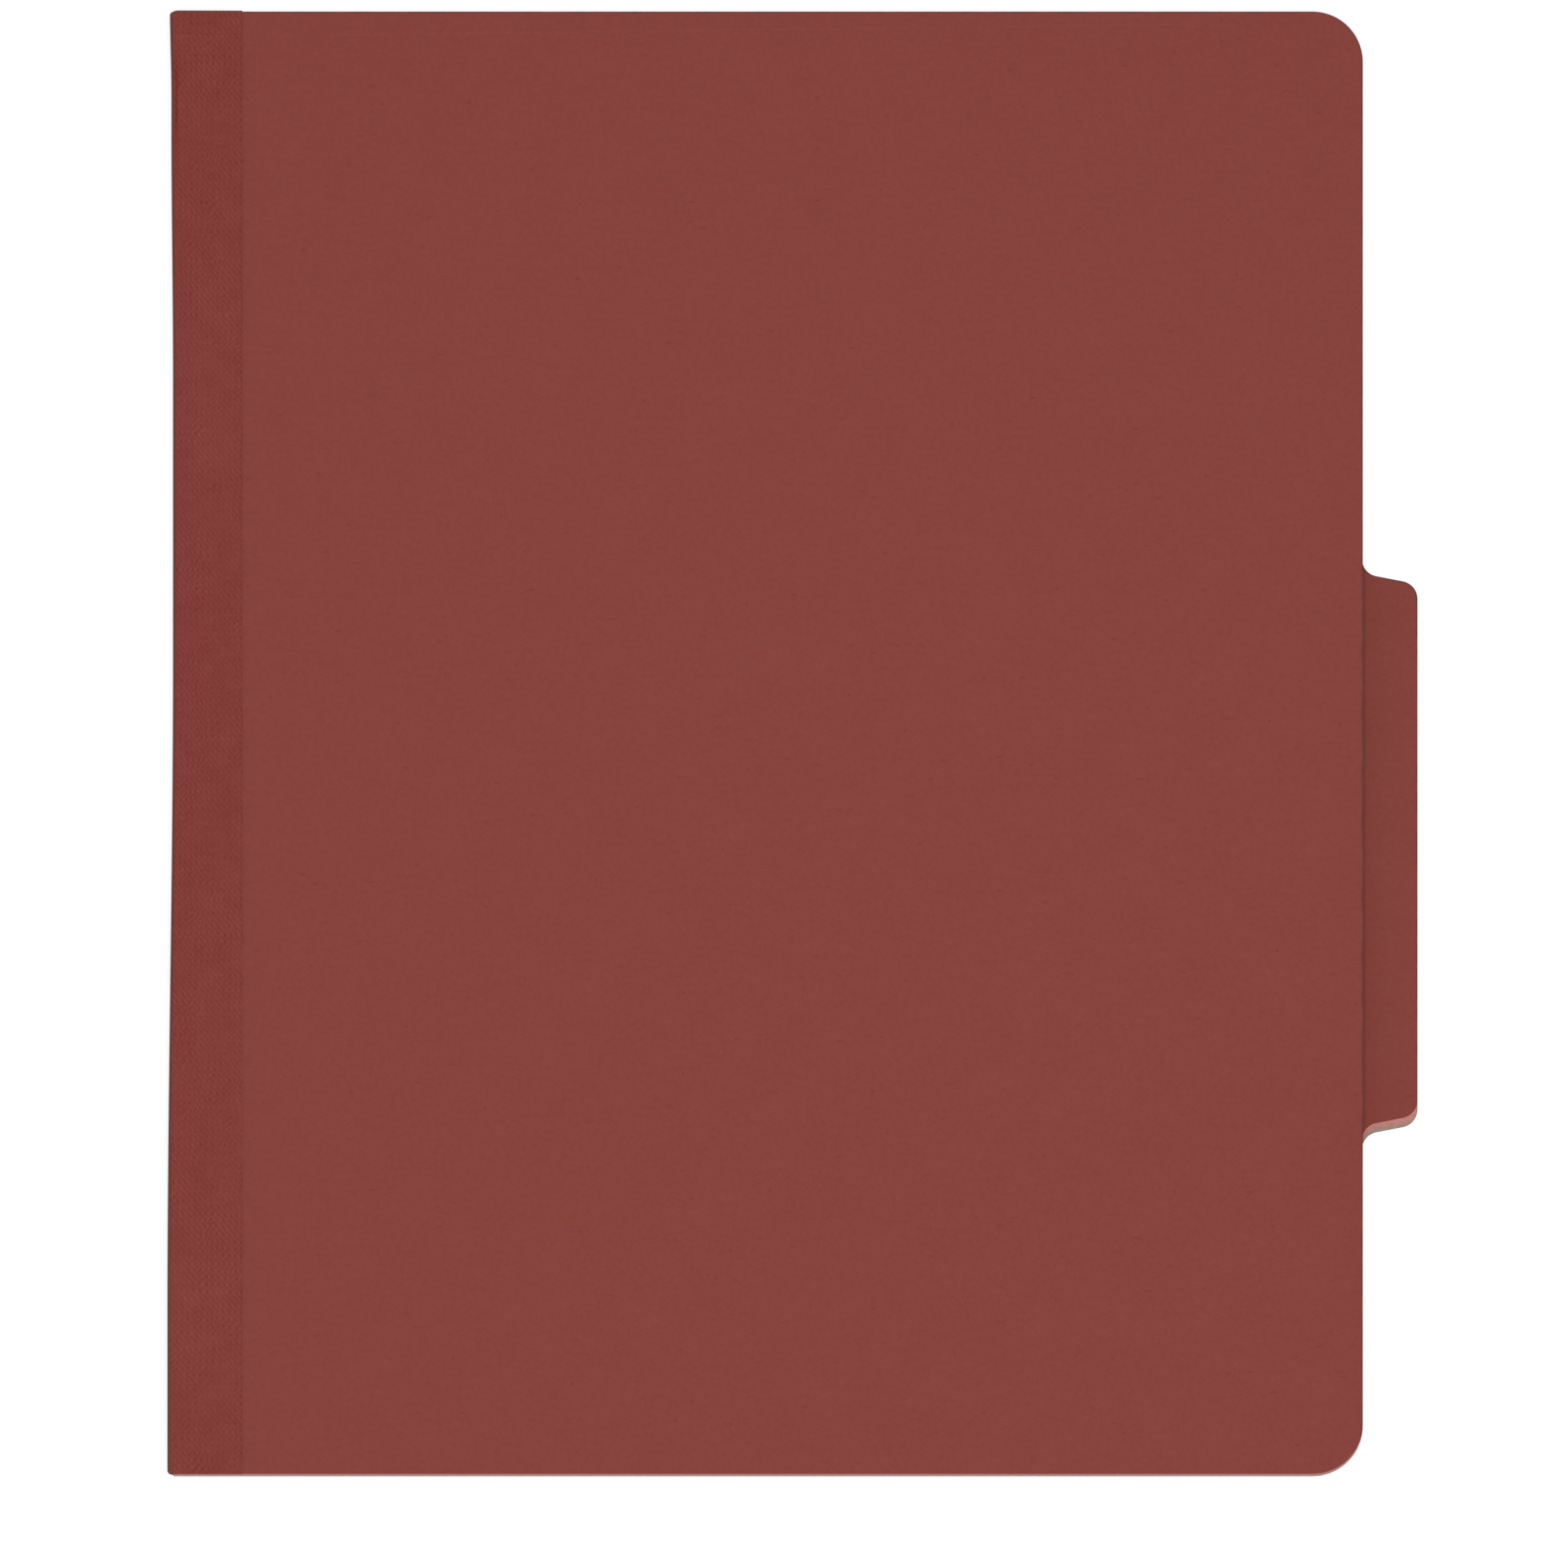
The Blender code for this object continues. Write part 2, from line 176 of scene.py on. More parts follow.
def fillet(before: Vector, corner: Vector, after: Vector, radius: float, steps: int) -> list[Vector]:
    """The arc that rounds one corner of a flat path.

    Args:
        before: The path's point ahead of the corner.
        corner: The corner.
        after: The path's point past the corner.
        radius: The arc's radius, or 0 to keep the corner.
        steps: How many pieces the arc has.

    Returns:
        The arc's points, or the corner alone.
    """
    if radius == 0.0:
        return [corner.copy()]
    back = (before - corner).normalized()
    ahead = (after - corner).normalized()
    half_angle = back.angle(ahead) / 2
    run = radius / tan(half_angle)
    centre = corner + (back + ahead).normalized() * (radius / sin(half_angle))
    start = corner + back * run - centre
    sweep = -start.angle_signed(corner + ahead * run - centre)
    return [centre + Matrix.Rotation(sweep * step / steps, 2) @ start for step in range(steps + 1)]


def round_corners(corners: Sequence[Vector], radii: Sequence[float], steps: int) -> list[Vector]:
    """A closed outline with each corner rounded by its own radius.

    Args:
        corners: The corners, counter-clockwise.
        radii: One radius for each corner.
        steps: How many pieces each arc has.

    Returns:
        The outline's points.
    """
    points: list[Vector] = []
    for index, corner in enumerate(corners):
        after = corners[(index + 1) % len(corners)]
        points += fillet(corners[index - 1], corner, after, radii[index], steps)
    return points


def spread(start: Vector, end: Vector, count: int) -> list[Vector]:
    """`count` even points from `start` up to, but without, `end`."""
    return [start.lerp(end, step / count) for step in range(count)]


def inset(points: Sequence[Vector], distance: float) -> list[Vector]:
    """A closed outline moved inward by a small distance.

    Args:
        points: The outline, counter-clockwise.
        distance: How far each side moves.

    Returns:
        The moved points, one for each.
    """
    moved = []
    for index, point in enumerate(points):
        before = (point - points[index - 1]).normalized()
        after = (points[(index + 1) % len(points)] - point).normalized()
        mitre = (before + after) / (1.0 + before.dot(after))
        moved.append(point + Vector((-mitre.y, mitre.x)) * distance)
    return moved


def rectangle(low: Vector, high: Vector) -> list[Vector]:
    """An upright rectangle.

    Args:
        low: Its low corner.
        high: Its high corner.

    Returns:
        The corners, counter-clockwise from the low one.
    """
    return [
        Vector((low.x, low.y)),
        Vector((high.x, low.y)),
        Vector((high.x, high.y)),
        Vector((low.x, high.y)),
    ]


@dataclass
class Loop:
    """One closed loop round a plate.

    Attributes:
        points: The loop in plan.
        height: Its height in the frame.
        share: How far up the cut edge it lies, from 0 to 1.
    """

    points: list[Vector]
    height: float
    share: float = 0.0

    def ring(self, bm: bmesh.types.BMesh) -> Ring:
        """Adds the loop's points to a mesh."""
        return [bm.verts.new((point.x, point.y, self.height)) for point in self.points]


def plate_loops(
    first: list[Vector], second: list[Vector], start: float, end: float, rim: float, drop: float
) -> list[Loop]:
    """Loops of a plate whose two faces turn into its edge over a narrow rim.

    Args:
        first: The outline where the edge starts.
        second: The outline where the edge ends.
        start: The height of the face beside the first outline.
        end: The height of the other face.
        rim: The rim's width in plan, or less than 0 round a hole.
        drop: The rim's height.

    Returns:
        The loops from the first face to the other.
    """
    step = copysign(drop, end - start)
    return [
        Loop(inset(first, rim), start, 0.0),
        Loop(first, start + step, 0.0),
        Loop(second, end - step, 1.0),
        Loop(inset(second, rim), end, 1.0),
    ]


def bridge(bm: bmesh.types.BMesh, rings: Sequence[Ring]) -> list[list[bmesh.types.BMFace]]:
    """Joins closed rings of equal counts, each to the next.

    Args:
        bm: The mesh that has the rings.
        rings: The rings in order.

    Returns:
        The faces of each band between two rings.
    """
    bands = []
    for ring, after in zip(rings, rings[1:]):
        quads = [(ring[index - 1], vert, after[index], after[index - 1]) for index, vert in enumerate(ring)]
        bands.append([bm.faces.new(quad) for quad in quads])
    return bands


def cap(bm: bmesh.types.BMesh, rings: Sequence[Ring]) -> None:
    """Closes the first and the last ring with a face each."""
    bm.faces.new(reversed(rings[0]))
    bm.faces.new(rings[-1])


def link_mesh(name: str, bm: bmesh.types.BMesh, finishes: Sequence[Material]) -> Piece:
    """A new object from a bmesh, shaded smooth with its sharp edges kept.

    Args:
        name: The piece's name.
        bm: The mesh, which is freed.
        finishes: One material for each slot.

    Returns:
        The object, in the scene.
    """
    bmesh.ops.recalc_face_normals(bm, faces=bm.faces[:])
    mesh = bpy.data.meshes.new(name)
    bm.to_mesh(mesh)
    bm.free()
    for finish in finishes:
        mesh.materials.append(finish)
    mesh.shade_smooth()
    mesh.set_sharp_from_angle(angle=SHARP_ANGLE)
    piece = bpy.data.objects.new(name, mesh)
    bpy.context.scene.collection.objects.link(piece)
    return piece


def loft_plate(
    name: str,
    loops: Sequence[Loop],
    band_at: Callable[[int, Vector], Band],
    finishes: Sequence[Material],
) -> Piece:
    """A closed plate through loops of equal counts, stacked from one face to the other.

    Args:
        name: The piece's name.
        loops: The loops, counter-clockwise in plan.
        band_at: Gives the band between loop n and the next one, for a stretch that faces a given way.
        finishes: The materials, in the order of `Band`.

    Returns:
        The plate.
    """
    bm = bmesh.new()
    share = bm.verts.layers.float.new(EDGE_SHARE)
    rings = []
    for loop in loops:
        ring = loop.ring(bm)
        for vert in ring:
            vert[share] = loop.share
        rings.append(ring)
    for level, faces in enumerate(bridge(bm, rings)):
        for face in faces:
            along = face.verts[1].co - face.verts[0].co
            face.material_index = band_at(level, Vector((along.y, -along.x)).normalized()).value
    cap(bm, rings)
    return link_mesh(name, bm, finishes)


def pierced_plate(
    name: str, outer: Sequence[Loop], holes: Sequence[Sequence[Loop]], finish: Material
) -> Piece:
    """A closed plate through stacked loops, with holes right through it.

    Args:
        name: The piece's name.
        outer: The loops round its outside.
        holes: The loops round each hole, at the same heights.
        finish: Its material.

    Returns:
        The plate.
    """
    bm = bmesh.new()
    caps: tuple[list[bmesh.types.BMEdge], list[bmesh.types.BMEdge]] = ([], [])
    for loops in (outer, *holes):
        rings = [loop.ring(bm) for loop in loops]
        bridge(bm, rings)
        for edges, ring in zip(caps, (rings[0], rings[-1])):
            edges += [bm.edges.get((ring[index - 1], vert)) for index, vert in enumerate(ring)]
    for edges in caps:
        bmesh.ops.triangle_fill(bm, edges=edges, use_beauty=True)
    return link_mesh(name, bm, [finish])


def dress(piece: Piece, body: str, node: str, slot: Slot) -> Piece:
    """Puts a piece on its body, in the place of a CAD node.

    Args:
        piece: The piece.
        body: The body that carries it.
        node: The node that it replaces.
        slot: Its slot, which is not used.

    Returns:
        The piece.
    """
    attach(piece, body)
    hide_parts(node)
    return piece


@dataclass
class Ribbon:
    """A strip of cloth that follows a section and runs along the spine.

    Attributes:
        name: The piece's name.
        section: The middle of the cloth, as distance from the spine's edge and height.
        ends: Gives the lowest and highest y for a point of the section.
        thickness: The cloth's thickness.
        spine_x: Where the spine's edge is in the frame.
        sway: Gives how far a point of the section leans along x at a given y.
        painted_shade_at: Gives the painted shade of a point of the section at a given y, from 0 to 1 along
            the edges, and down to -1 in the dark line beside the spine's edge.
        spans: How many even faces the strip has along the spine.
        even_start: How far from each end the even faces start.
        close_rows: Distances of the rows of points that stand closer, near each end.
    """

    name: str
    section: list[Vector]
    ends: Callable[[int], Span]
    thickness: float
    spine_x: float
    sway: Callable[[Vector, float], float]
    painted_shade_at: Callable[[int, float], float]
    spans: int = 120
    even_start: float = 1.2 * MM
    close_rows: tuple[float, ...] = (0.0, 0.1 * MM, 0.2 * MM, 0.35 * MM, 0.6 * MM)

    def rows(self, index: int) -> list[float]:
        """The rows of points along the strip.

        Args:
            index: A point of the section.

        Returns:
            The y of each row there.
        """
        low, high = self.ends(index)
        start, stop = low + self.even_start, high - self.even_start
        even = [start + (stop - start) * step / self.spans for step in range(self.spans + 1)]
        near_low = [low + row for row in self.close_rows]
        return near_low + even + [high - row for row in reversed(self.close_rows)]

    def width(self) -> float:
        """The cloth's width, along its section."""
        return sum((b - a).length for a, b in zip(self.section, self.section[1:]))

    def length(self) -> float:
        """The cloth's greatest length along the spine."""
        return max(high - low for low, high in map(self.ends, range(len(self.section))))

    def build(self, finish: Material, weave_start: float = 0.0) -> Piece:
        """Makes the closed strip, with its place in the weave kept on its points.

        Args:
            finish: The cloth's material.
            weave_start: The width of cloth that comes before this strip.

        Returns:
            The strip.
        """
        bm = bmesh.new()
        weave = bm.verts.layers.float_vector.new(WEAVE)
        rings: list[Ring] = []
        across = weave_start
        for index, point in enumerate(self.section):
            before = self.section[max(index - 1, 0)]
            after = self.section[min(index + 1, len(self.section) - 1)]
            along = (after - before).normalized()
            normal = Vector((-along.y, along.x)) * self.thickness / 2
            across += (point - before).length
            outer: Ring = []
            inner: Ring = []
            for side, offset in ((outer, normal), (inner, -normal)):
                for y in self.rows(index):
                    x = self.spine_x + point.x + offset.x + self.sway(point, y)
                    vert = bm.verts.new((x, y, point.y + offset.y))
                    # The third value is the painted shade at the point.
                    vert[weave] = (across, y, self.painted_shade_at(index, y))
                    side.append(vert)
            rings.append(outer + inner[::-1])
        bridge(bm, rings)
        for ring in (rings[0], rings[-1]):
            for step in range(len(ring) // 2 - 1):
                bm.faces.new((ring[step], ring[step + 1], ring[-2 - step], ring[-1 - step]))
        return link_mesh(self.name, bm, [finish])


# Finishes


@dataclass(frozen=True)
class Grain:
    """A soft noise and what a finish takes from it.

    Attributes:
        cells: Its cells in a metre along each axis.
        span: What its low and its high values come to.
        detail: How many finer layers it has.
        reach: How far from a half its low and high values are.
        stored: The stored place that it follows, or nothing for the object's own coordinates.
    """

    cells: Place
    span: Span
    detail: float = 2.0
    reach: float = 0.2
    stored: str = ""


@dataclass(frozen=True)
class Flecks:
    """Scattered specks, one at most to each cell.

    Attributes:
        cells: The cells in a metre along each axis.
        size: A speck's radius, in cells.
        rarity: The share of cells that stay bare.
    """

    cells: Place
    size: float
    rarity: float


class Wiring:
    """A node tree, built in short steps."""

    def __init__(self, owner: Material | bpy.types.World) -> None:
        """Starts a tree.

        Args:
            owner: The material or the world that it belongs to.
        """
        owner.use_nodes = True
        self.owner = owner
        self.tree = owner.node_tree

    def node(self, kind: str, **settings: object) -> bpy.types.Node:
        """Adds a node.

        Args:
            kind: Its kind, without the ShaderNode prefix.
            settings: Its properties.

        Returns:
            The node.
        """
        made = self.tree.nodes.new("ShaderNode" + kind)
        for key, value in settings.items():
            setattr(made, key, value)
        return made

    def feed(self, socket: Socket, value: object) -> None:
        """Links a socket to another one, or sets its value.

        Args:
            socket: The socket to feed.
            value: The other socket, or a number, a vector or a colour.
        """
        if isinstance(value, Socket):
            self.tree.links.new(value, socket)
        else:
            socket.default_value = (*value, 1.0) if socket.type == "RGBA" else value

    def math(self, operation: str, value: object, *others: object) -> Socket:
        """Does an operation with a value and each of the others in turn, or with the value alone.

        Args:
            operation: The operation.
            value: The first value or socket.
            others: The other values or sockets.

        Returns:
            The result.
        """
        for other in others or (0.0,):
            made = self.node("Math", operation=operation)
            self.feed(made.inputs[0], value)
            self.feed(made.inputs[1], other)
            value = made.outputs["Value"]
        return value

    def choose(self, lighting: Socket, shown: Socket, output: str) -> None:
        """Lights the object by one shader, and shows another to the camera, in mirrors and through glass.

        Args:
            lighting: The shader that lights the object.
            shown: The shader that is seen.
            output: The tree's output node.
        """
        path = self.node("LightPath")
        seen = path.outputs["Is Camera Ray"]
        for key in ("Is Glossy Ray", "Is Transmission Ray"):
            adder = self.node("Math", use_clamp=True)
            self.feed(adder.inputs[0], seen)
            self.feed(adder.inputs[1], path.outputs[key])
            seen = adder.outputs["Value"]
        choice = self.node("MixShader")
        for socket, value in zip(choice.inputs, (seen, lighting, shown)):
            self.feed(socket, value)
        self.feed(self.tree.nodes[output].inputs["Surface"], choice.outputs["Shader"])


class Surface(Wiring):
    """A material's node tree, round its Principled shader."""

    def __init__(self, name: str) -> None:
        """Starts a material.

        Args:
            name: The material's name.
        """
        super().__init__(bpy.data.materials.new(name))
        self.shader = self.tree.nodes["Principled BSDF"]
        self.noises: dict[Grain, Socket] = {}

    def place(self, cells: Place, stored: str = "") -> Socket:
        """Texture coordinates, in cells.

        Args:
            cells: Cells in a metre along each axis.
            stored: A stored place to read, or nothing for the object's own coordinates.

        Returns:
            The coordinates.
        """
        if stored:
            source = self.node("Attribute", attribute_name=stored).outputs["Vector"]
        else:
            source = self.node("TexCoord").outputs["Object"]
        mapping = self.node("Mapping")
        self.feed(mapping.inputs["Vector"], source)
        mapping.inputs["Scale"].default_value = cells
        return mapping.outputs["Vector"]

    def parts(self, vector: Socket) -> tuple[Socket, ...]:
        """Takes a vector apart.

        Args:
            vector: The vector.

        Returns:
            Its x, y and z.
        """
        made = self.node("SeparateXYZ")
        self.feed(made.inputs[0], vector)
        return tuple(made.outputs)

    def noise(self, grain: Grain) -> Socket:
        """A grain's noise as it is, made once in a material.

        Args:
            grain: The grain.

        Returns:
            The noise, which is about a half.
        """
        if grain not in self.noises:
            made = self.node("TexNoise")
            self.feed(made.inputs["Vector"], self.place(grain.cells, grain.stored))
            made.inputs["Scale"].default_value = 1.0
            made.inputs["Detail"].default_value = grain.detail
            self.noises[grain] = made.outputs["Fac"]
        return self.noises[grain]

    def remap(self, value: Socket, span: Span, to: Span) -> Socket:
        """Maps a span of a value to another span, held at its ends.

        Args:
            value: The value.
            span: Its low and high ends.
            to: What these come to.

        Returns:
            The mapped value.
        """
        made = self.node("MapRange")
        self.feed(made.inputs["Value"], value)
        for key, number in zip(("From Min", "From Max", "To Min", "To Max"), (*span, *to)):
            made.inputs[key].default_value = number
        return made.outputs["Result"]

    def vary(self, grain: Grain, span: Span | None = None) -> Socket:
        """A grain's noise, over its own span or another one."""
        return self.remap(self.noise(grain), (0.5 - grain.reach, 0.5 + grain.reach), span or grain.span)

    def flecks(self, flecks: Flecks) -> Socket:
        """Scattered specks, each soft over the outer half of its radius.

        Args:
            flecks: The specks' sizes.

        Returns:
            Their mask, from 0 to 1.
        """
        cells = self.node("TexVoronoi")
        self.feed(cells.inputs["Vector"], self.place(flecks.cells))
        cells.inputs["Scale"].default_value = 1.0
        spots = self.remap(cells.outputs["Distance"], (flecks.size / 2, flecks.size), (1.0, 0.0))
        chosen = self.node("SeparateColor")
        self.feed(chosen.inputs["Color"], cells.outputs["Color"])
        return self.math("MULTIPLY", spots, self.math("GREATER_THAN", chosen.outputs["Red"], flecks.rarity))

    def shade(self, colour: object, value: Socket) -> Socket:
        """A colour times a grey value.

        Args:
            colour: The colour.
            value: The grey value.

        Returns:
            The shaded colour.
        """
        made = self.node("VectorMath", operation="SCALE")
        self.feed(made.inputs[0], colour)
        self.feed(made.inputs["Scale"], value)
        return made.outputs["Vector"]

    def tone(self, colour: Colour, step: Colour, level: Socket) -> Socket:
        """A colour made paler or darker by a number of small steps.

        Args:
            colour: The colour at level 0.
            step: What one level adds to it.
            level: The number of steps.

        Returns:
            The toned colour.
        """
        made = self.node("VectorMath", operation="MULTIPLY_ADD")
        for socket, value in zip(made.inputs, (level, step, colour)):
            self.feed(socket, value)
        return made.outputs["Vector"]

    def mix(self, factor: Socket, first: object, second: object) -> Socket:
        """A blend of two colours.

        Args:
            factor: How much of the second one shows.
            first: The first colour.
            second: The second colour.

        Returns:
            The blend.
        """
        made = self.node("Mix", data_type="RGBA")
        self.feed(made.inputs["Factor"], factor)
        for key, colour in (("A_Color", first), ("B_Color", second)):
            self.feed(next(item for item in made.inputs if item.identifier == key), colour)
        return next(item for item in made.outputs if item.identifier == "Result_Color")

    def bump(self, height: Socket, depth: float) -> None:
        """Raises the surface.

        Args:
            height: The height.
            depth: How many metres a height of 1 rises.
        """
        made = self.node("Bump")
        self.feed(made.inputs["Height"], height)
        made.inputs["Distance"].default_value = depth
        self.feed(self.shader.inputs["Normal"], made.outputs["Normal"])

    def finish(self, colour: object, roughness: object, specular: float, metallic: float = 0.0) -> Material:
        """Sets the shader's main values.

        Args:
            colour: The base colour.
            roughness: The roughness.
            specular: How much it shines.
            metallic: How much of it is bare metal.

        Returns:
            The material.
        """
        keys = ("Base Color", "Roughness", "Specular IOR Level", "Metallic")
        for key, value in zip(keys, (colour, roughness, specular, metallic)):
            self.feed(self.shader.inputs[key], value)
        return self.owner


@dataclass(frozen=True)
class PaleLine:
    """A faint paler line, a little below the front's top edge.

    Attributes:
        level: Its height up the front, at the folder's middle.
        slope: How much it climbs towards the fore edge.
        profile: How far from its middle it starts to fade and has faded out.
        ending: Where along the front it starts to fade and has faded out.
        lift: The number of tone steps that it lifts the colour by.
    """

    level: float = 145.61 * MM
    slope: float = 0.01247
    profile: Span = (0.03 * MM, 0.15 * MM)
    ending: Span = (65.0 * MM, 95.0 * MM)
    lift: Grain = Grain((70.0, 5.0, 5.0), (2.6, 5.2), reach=0.1)

    def steps(self, tree: Surface) -> Socket:
        """Adds the line to a material.

        Args:
            tree: The material's tree.

        Returns:
            The number of tone steps that the line adds.
        """
        x, y, _ = tree.parts(tree.node("TexCoord").outputs["Object"])
        above = tree.math("SUBTRACT", y, tree.math("MULTIPLY", x, self.slope), self.level)
        line = tree.remap(tree.math("ABSOLUTE", above), self.profile, (1.0, 0.0))
        ending = tree.remap(x, self.ending, (1.0, 0.0))
        return tree.math("MULTIPLY", line, ending, tree.vary(self.lift))


@dataclass(frozen=True)
class PressboardFinish:
    """Dyed pressboard, finely mottled with dark flecks, and paler where it is cut.

    The grains of its faces are in tone steps, and those of its rim and cut edges are shares of a colour. The
    rim's dark colour is painted shade, and the cut edges' change of colour from their low side to their high
    side is painted light and shade over their own paler colour.
    """

    face: Colour = (0.231, 0.0478, 0.0381)
    step: Colour = (0.0039, 0.0017, 0.00155)
    streaks: Grain = Grain((130.0, 760.0, 760.0), (-0.5, 0.5), 3.0)
    clouds: Grain = Grain((90.0, 90.0, 90.0), (-0.6, 0.6), 3.0)
    mottle: Grain = Grain((900.0, 1050.0, 900.0), (-1.65, 1.65))
    grain: Grain = Grain((2600.0, 3000.0, 2600.0), (-2.0, 2.0))
    fibres: Flecks = Flecks((430.0, 1300.0, 900.0), 0.40, 0.985)
    dots: Flecks = Flecks((620.0, 620.0, 620.0), 0.28, 0.975)
    fleck_steps: float = 5.0
    relief: float = 0.02 * MM
    roughness: Span = (0.57, 0.67)
    specular: float = 0.10
    # Painted shade: the dark colour of the narrow rim where a face turns into its cut edge.
    rim: Colour = (0.165, 0.0435, 0.0375)
    rim_wear: Grain = Grain((240.0, 240.0, 240.0), (0.8, 1.25))
    rim_roughness: float = 0.6
    # The cut edge's own paler colour with painted light and shade: grey-tan and shaded at its low side, lit
    # pink at its high side.
    lit_cut_low: Colour = (0.300, 0.250, 0.205)
    lit_cut_high: Colour = (0.560, 0.225, 0.200)
    cut_light_turn: Span = (0.05, 0.8)
    cut_fibres: Grain = Grain((900.0, 900.0, 5200.0), (0.90, 1.08), 3.0)
    cut_relief: float = 0.03 * MM
    cut_roughness: float = 0.85
    cut_specular: float = 0.2
    pale_line: PaleLine | None = None

    def faces(self, name: str) -> Material:
        """Makes the flat sides' finish.

        Args:
            name: The material's name.

        Returns:
            The material.
        """
        tree = Surface(name)
        grains = (self.streaks, self.clouds, self.mottle, self.grain)
        level = tree.math("ADD", *(tree.vary(grain) for grain in grains))
        flecks = tree.math("MAXIMUM", tree.flecks(self.fibres), tree.flecks(self.dots))
        level = tree.math("SUBTRACT", level, tree.math("MULTIPLY", flecks, self.fleck_steps))
        if self.pale_line:
            level = tree.math("ADD", level, self.pale_line.steps(tree))
        tree.bump(tree.math("ADD", tree.noise(self.grain), tree.noise(self.mottle)), self.relief)
        roughness = tree.vary(self.grain, self.roughness)
        return tree.finish(tree.tone(self.face, self.step, level), roughness, self.specular)

    def edges(self, name: str) -> Material:
        """Makes the cut edge's finish: its own paler colour, with painted light and shade that change it from
        its low side to its high side.

        Args:
            name: The material's name.

        Returns:
            The material.
        """
        tree = Surface(name)
        # The painted light and shade follow the height up the cut edge.
        height = tree.node("Attribute", attribute_name=EDGE_SHARE).outputs["Fac"]
        colour = tree.mix(tree.remap(height, self.cut_light_turn, (0.0, 1.0)), self.lit_cut_low, self.lit_cut_high)
        tree.bump(tree.noise(self.cut_fibres), self.cut_relief)
        colour = tree.shade(colour, tree.vary(self.cut_fibres))
        return tree.finish(colour, self.cut_roughness, self.cut_specular)

    def rims(self, name: str) -> Material:
        """Makes the finish of the dark line where a face meets its cut edge: painted shade of the narrow rim
        that turns away from the light.

        Args:
            name: The material's name.

        Returns:
            The material.
        """
        tree = Surface(name)
        # Painted shade: the rim's dark colour, varied at random along it.
        colour = tree.shade(self.rim, tree.vary(self.rim_wear))
        return tree.finish(colour, self.rim_roughness, self.specular)

    def all(self, name: str) -> list[Material]:
        """The materials in the order of `Band`."""
        return [self.faces(name + "_face"), self.edges(name + "_edge"), self.rims(name + "_rim")]


@dataclass(frozen=True)
class ClothFinish:
    """Book cloth in a plain weave, whose threads show as a fine lattice with a lean to the diagonal.

    The patches are where the other diagonal shows too, the waver is in pairs of threads, and the lattice is
    pressed to a share of its contrast. The contrast and the other grains are in tone steps, and so is the
    painted shade of the dark line beside the spine's edge. The darker colour at a strip's ends, spine's edge
    and hem is painted shade.
    """

    colour: Colour = (0.219, 0.0442, 0.0355)
    step: Colour = (0.0038, 0.0016, 0.00145)
    # Painted shade: the colour that a strip's ends, its spine's edge and its hem are darkened towards.
    painted_shade_colour: Colour = (0.150, 0.0480, 0.0430)
    pair_across: float = 1.156 * MM
    pair_along: float = 1.43 * MM
    contrast: float = 8.8
    rib: float = 0.5
    lean_loss: float = 0.5
    patches: Grain = Grain((240.0, 180.0, 0.0), (0.0, 1.0), reach=0.15, stored=WEAVE)
    waver: Grain = Grain((160.0, 160.0, 0.0), (-0.4, 0.4), stored=WEAVE)
    pressed: Grain = Grain((95.0, 70.0, 1.0), (0.45, 1.2), 3.0, 0.14, WEAVE)
    mottle: Grain = Grain((30.0, 22.0, 1.0), (-1.5, 1.5), stored=WEAVE)
    slubs: Grain = Grain((160.0, 1400.0, 1.0), (-1.5, 1.5), stored=WEAVE)
    blotches: Grain = Grain((230.0, 200.0, 1.0), (-2.0, 2.0), stored=WEAVE)
    fuzz: Grain = Grain((1500.0, 1500.0, 1.0), (-3.0, 3.0), stored=WEAVE)
    # Painted shade: tone steps of the dark line beside the spine's edge, where the cloth rolls away from the
    # light.
    roll_shade_steps: float = 13.0
    relief: float = 0.05 * MM
    roughness: float = 0.8
    specular: float = 0.10
    pale_line: PaleLine | None = None

    def wave(self, tree: Surface, across: object, along: object) -> Socket:
        """A cosine of the given number of thread pairs across and along the cloth."""
        return tree.math("COSINE", tree.math("MULTIPLY", tree.math("ADD", across, along), 2 * pi))

    def build(self, name: str) -> Material:
        """Makes the finish, which reads its threads and its painted shade from the strip's stored place.

        Args:
            name: The material's name.

        Returns:
            The material.
        """
        tree = Surface(name)
        cells = (1 / self.pair_across, 1 / self.pair_along, 1.0)
        across, along, painted_shade_level = tree.parts(tree.place(cells, WEAVE))
        waver = tree.vary(self.waver)
        across = tree.math("ADD", across, waver)
        along = tree.math("SUBTRACT", along, waver)
        against = tree.math("MULTIPLY", along, -1.0)
        patches = tree.vary(self.patches)
        kept = tree.remap(patches, (0.0, 1.0), (1.0, 1.0 - self.lean_loss))
        lean = tree.math("MULTIPLY", self.wave(tree, across, along), kept)
        counter = tree.math("MULTIPLY", self.wave(tree, across, against), patches)
        ribs = tree.math("MULTIPLY", self.wave(tree, across, 0.0), self.rib)
        most = 2.0 + self.rib
        height = tree.remap(tree.math("ADD", lean, counter, ribs), (-most, most), (0.0, 1.0))
        lattice = tree.remap(height, (0.0, 1.0), (-self.contrast, self.contrast))
        grains = (self.mottle, self.slubs, self.blotches, self.fuzz)
        level = tree.math(
            "ADD",
            tree.math("MULTIPLY", lattice, tree.vary(self.pressed)),
            *(tree.vary(grain) for grain in grains),
            # Painted shade of the dark line beside the spine's edge.
            tree.math("MULTIPLY", tree.math("MINIMUM", painted_shade_level, 0.0), self.roll_shade_steps),
        )
        if self.pale_line:
            level = tree.math("ADD", level, self.pale_line.steps(tree))
        tree.bump(height, self.relief)
        # Darkens towards the painted shade colour at the ends, the spine's edge and the hem.
        colour = tree.mix(painted_shade_level, tree.tone(self.colour, self.step, level), self.painted_shade_colour)
        return tree.finish(colour, self.roughness, self.specular)


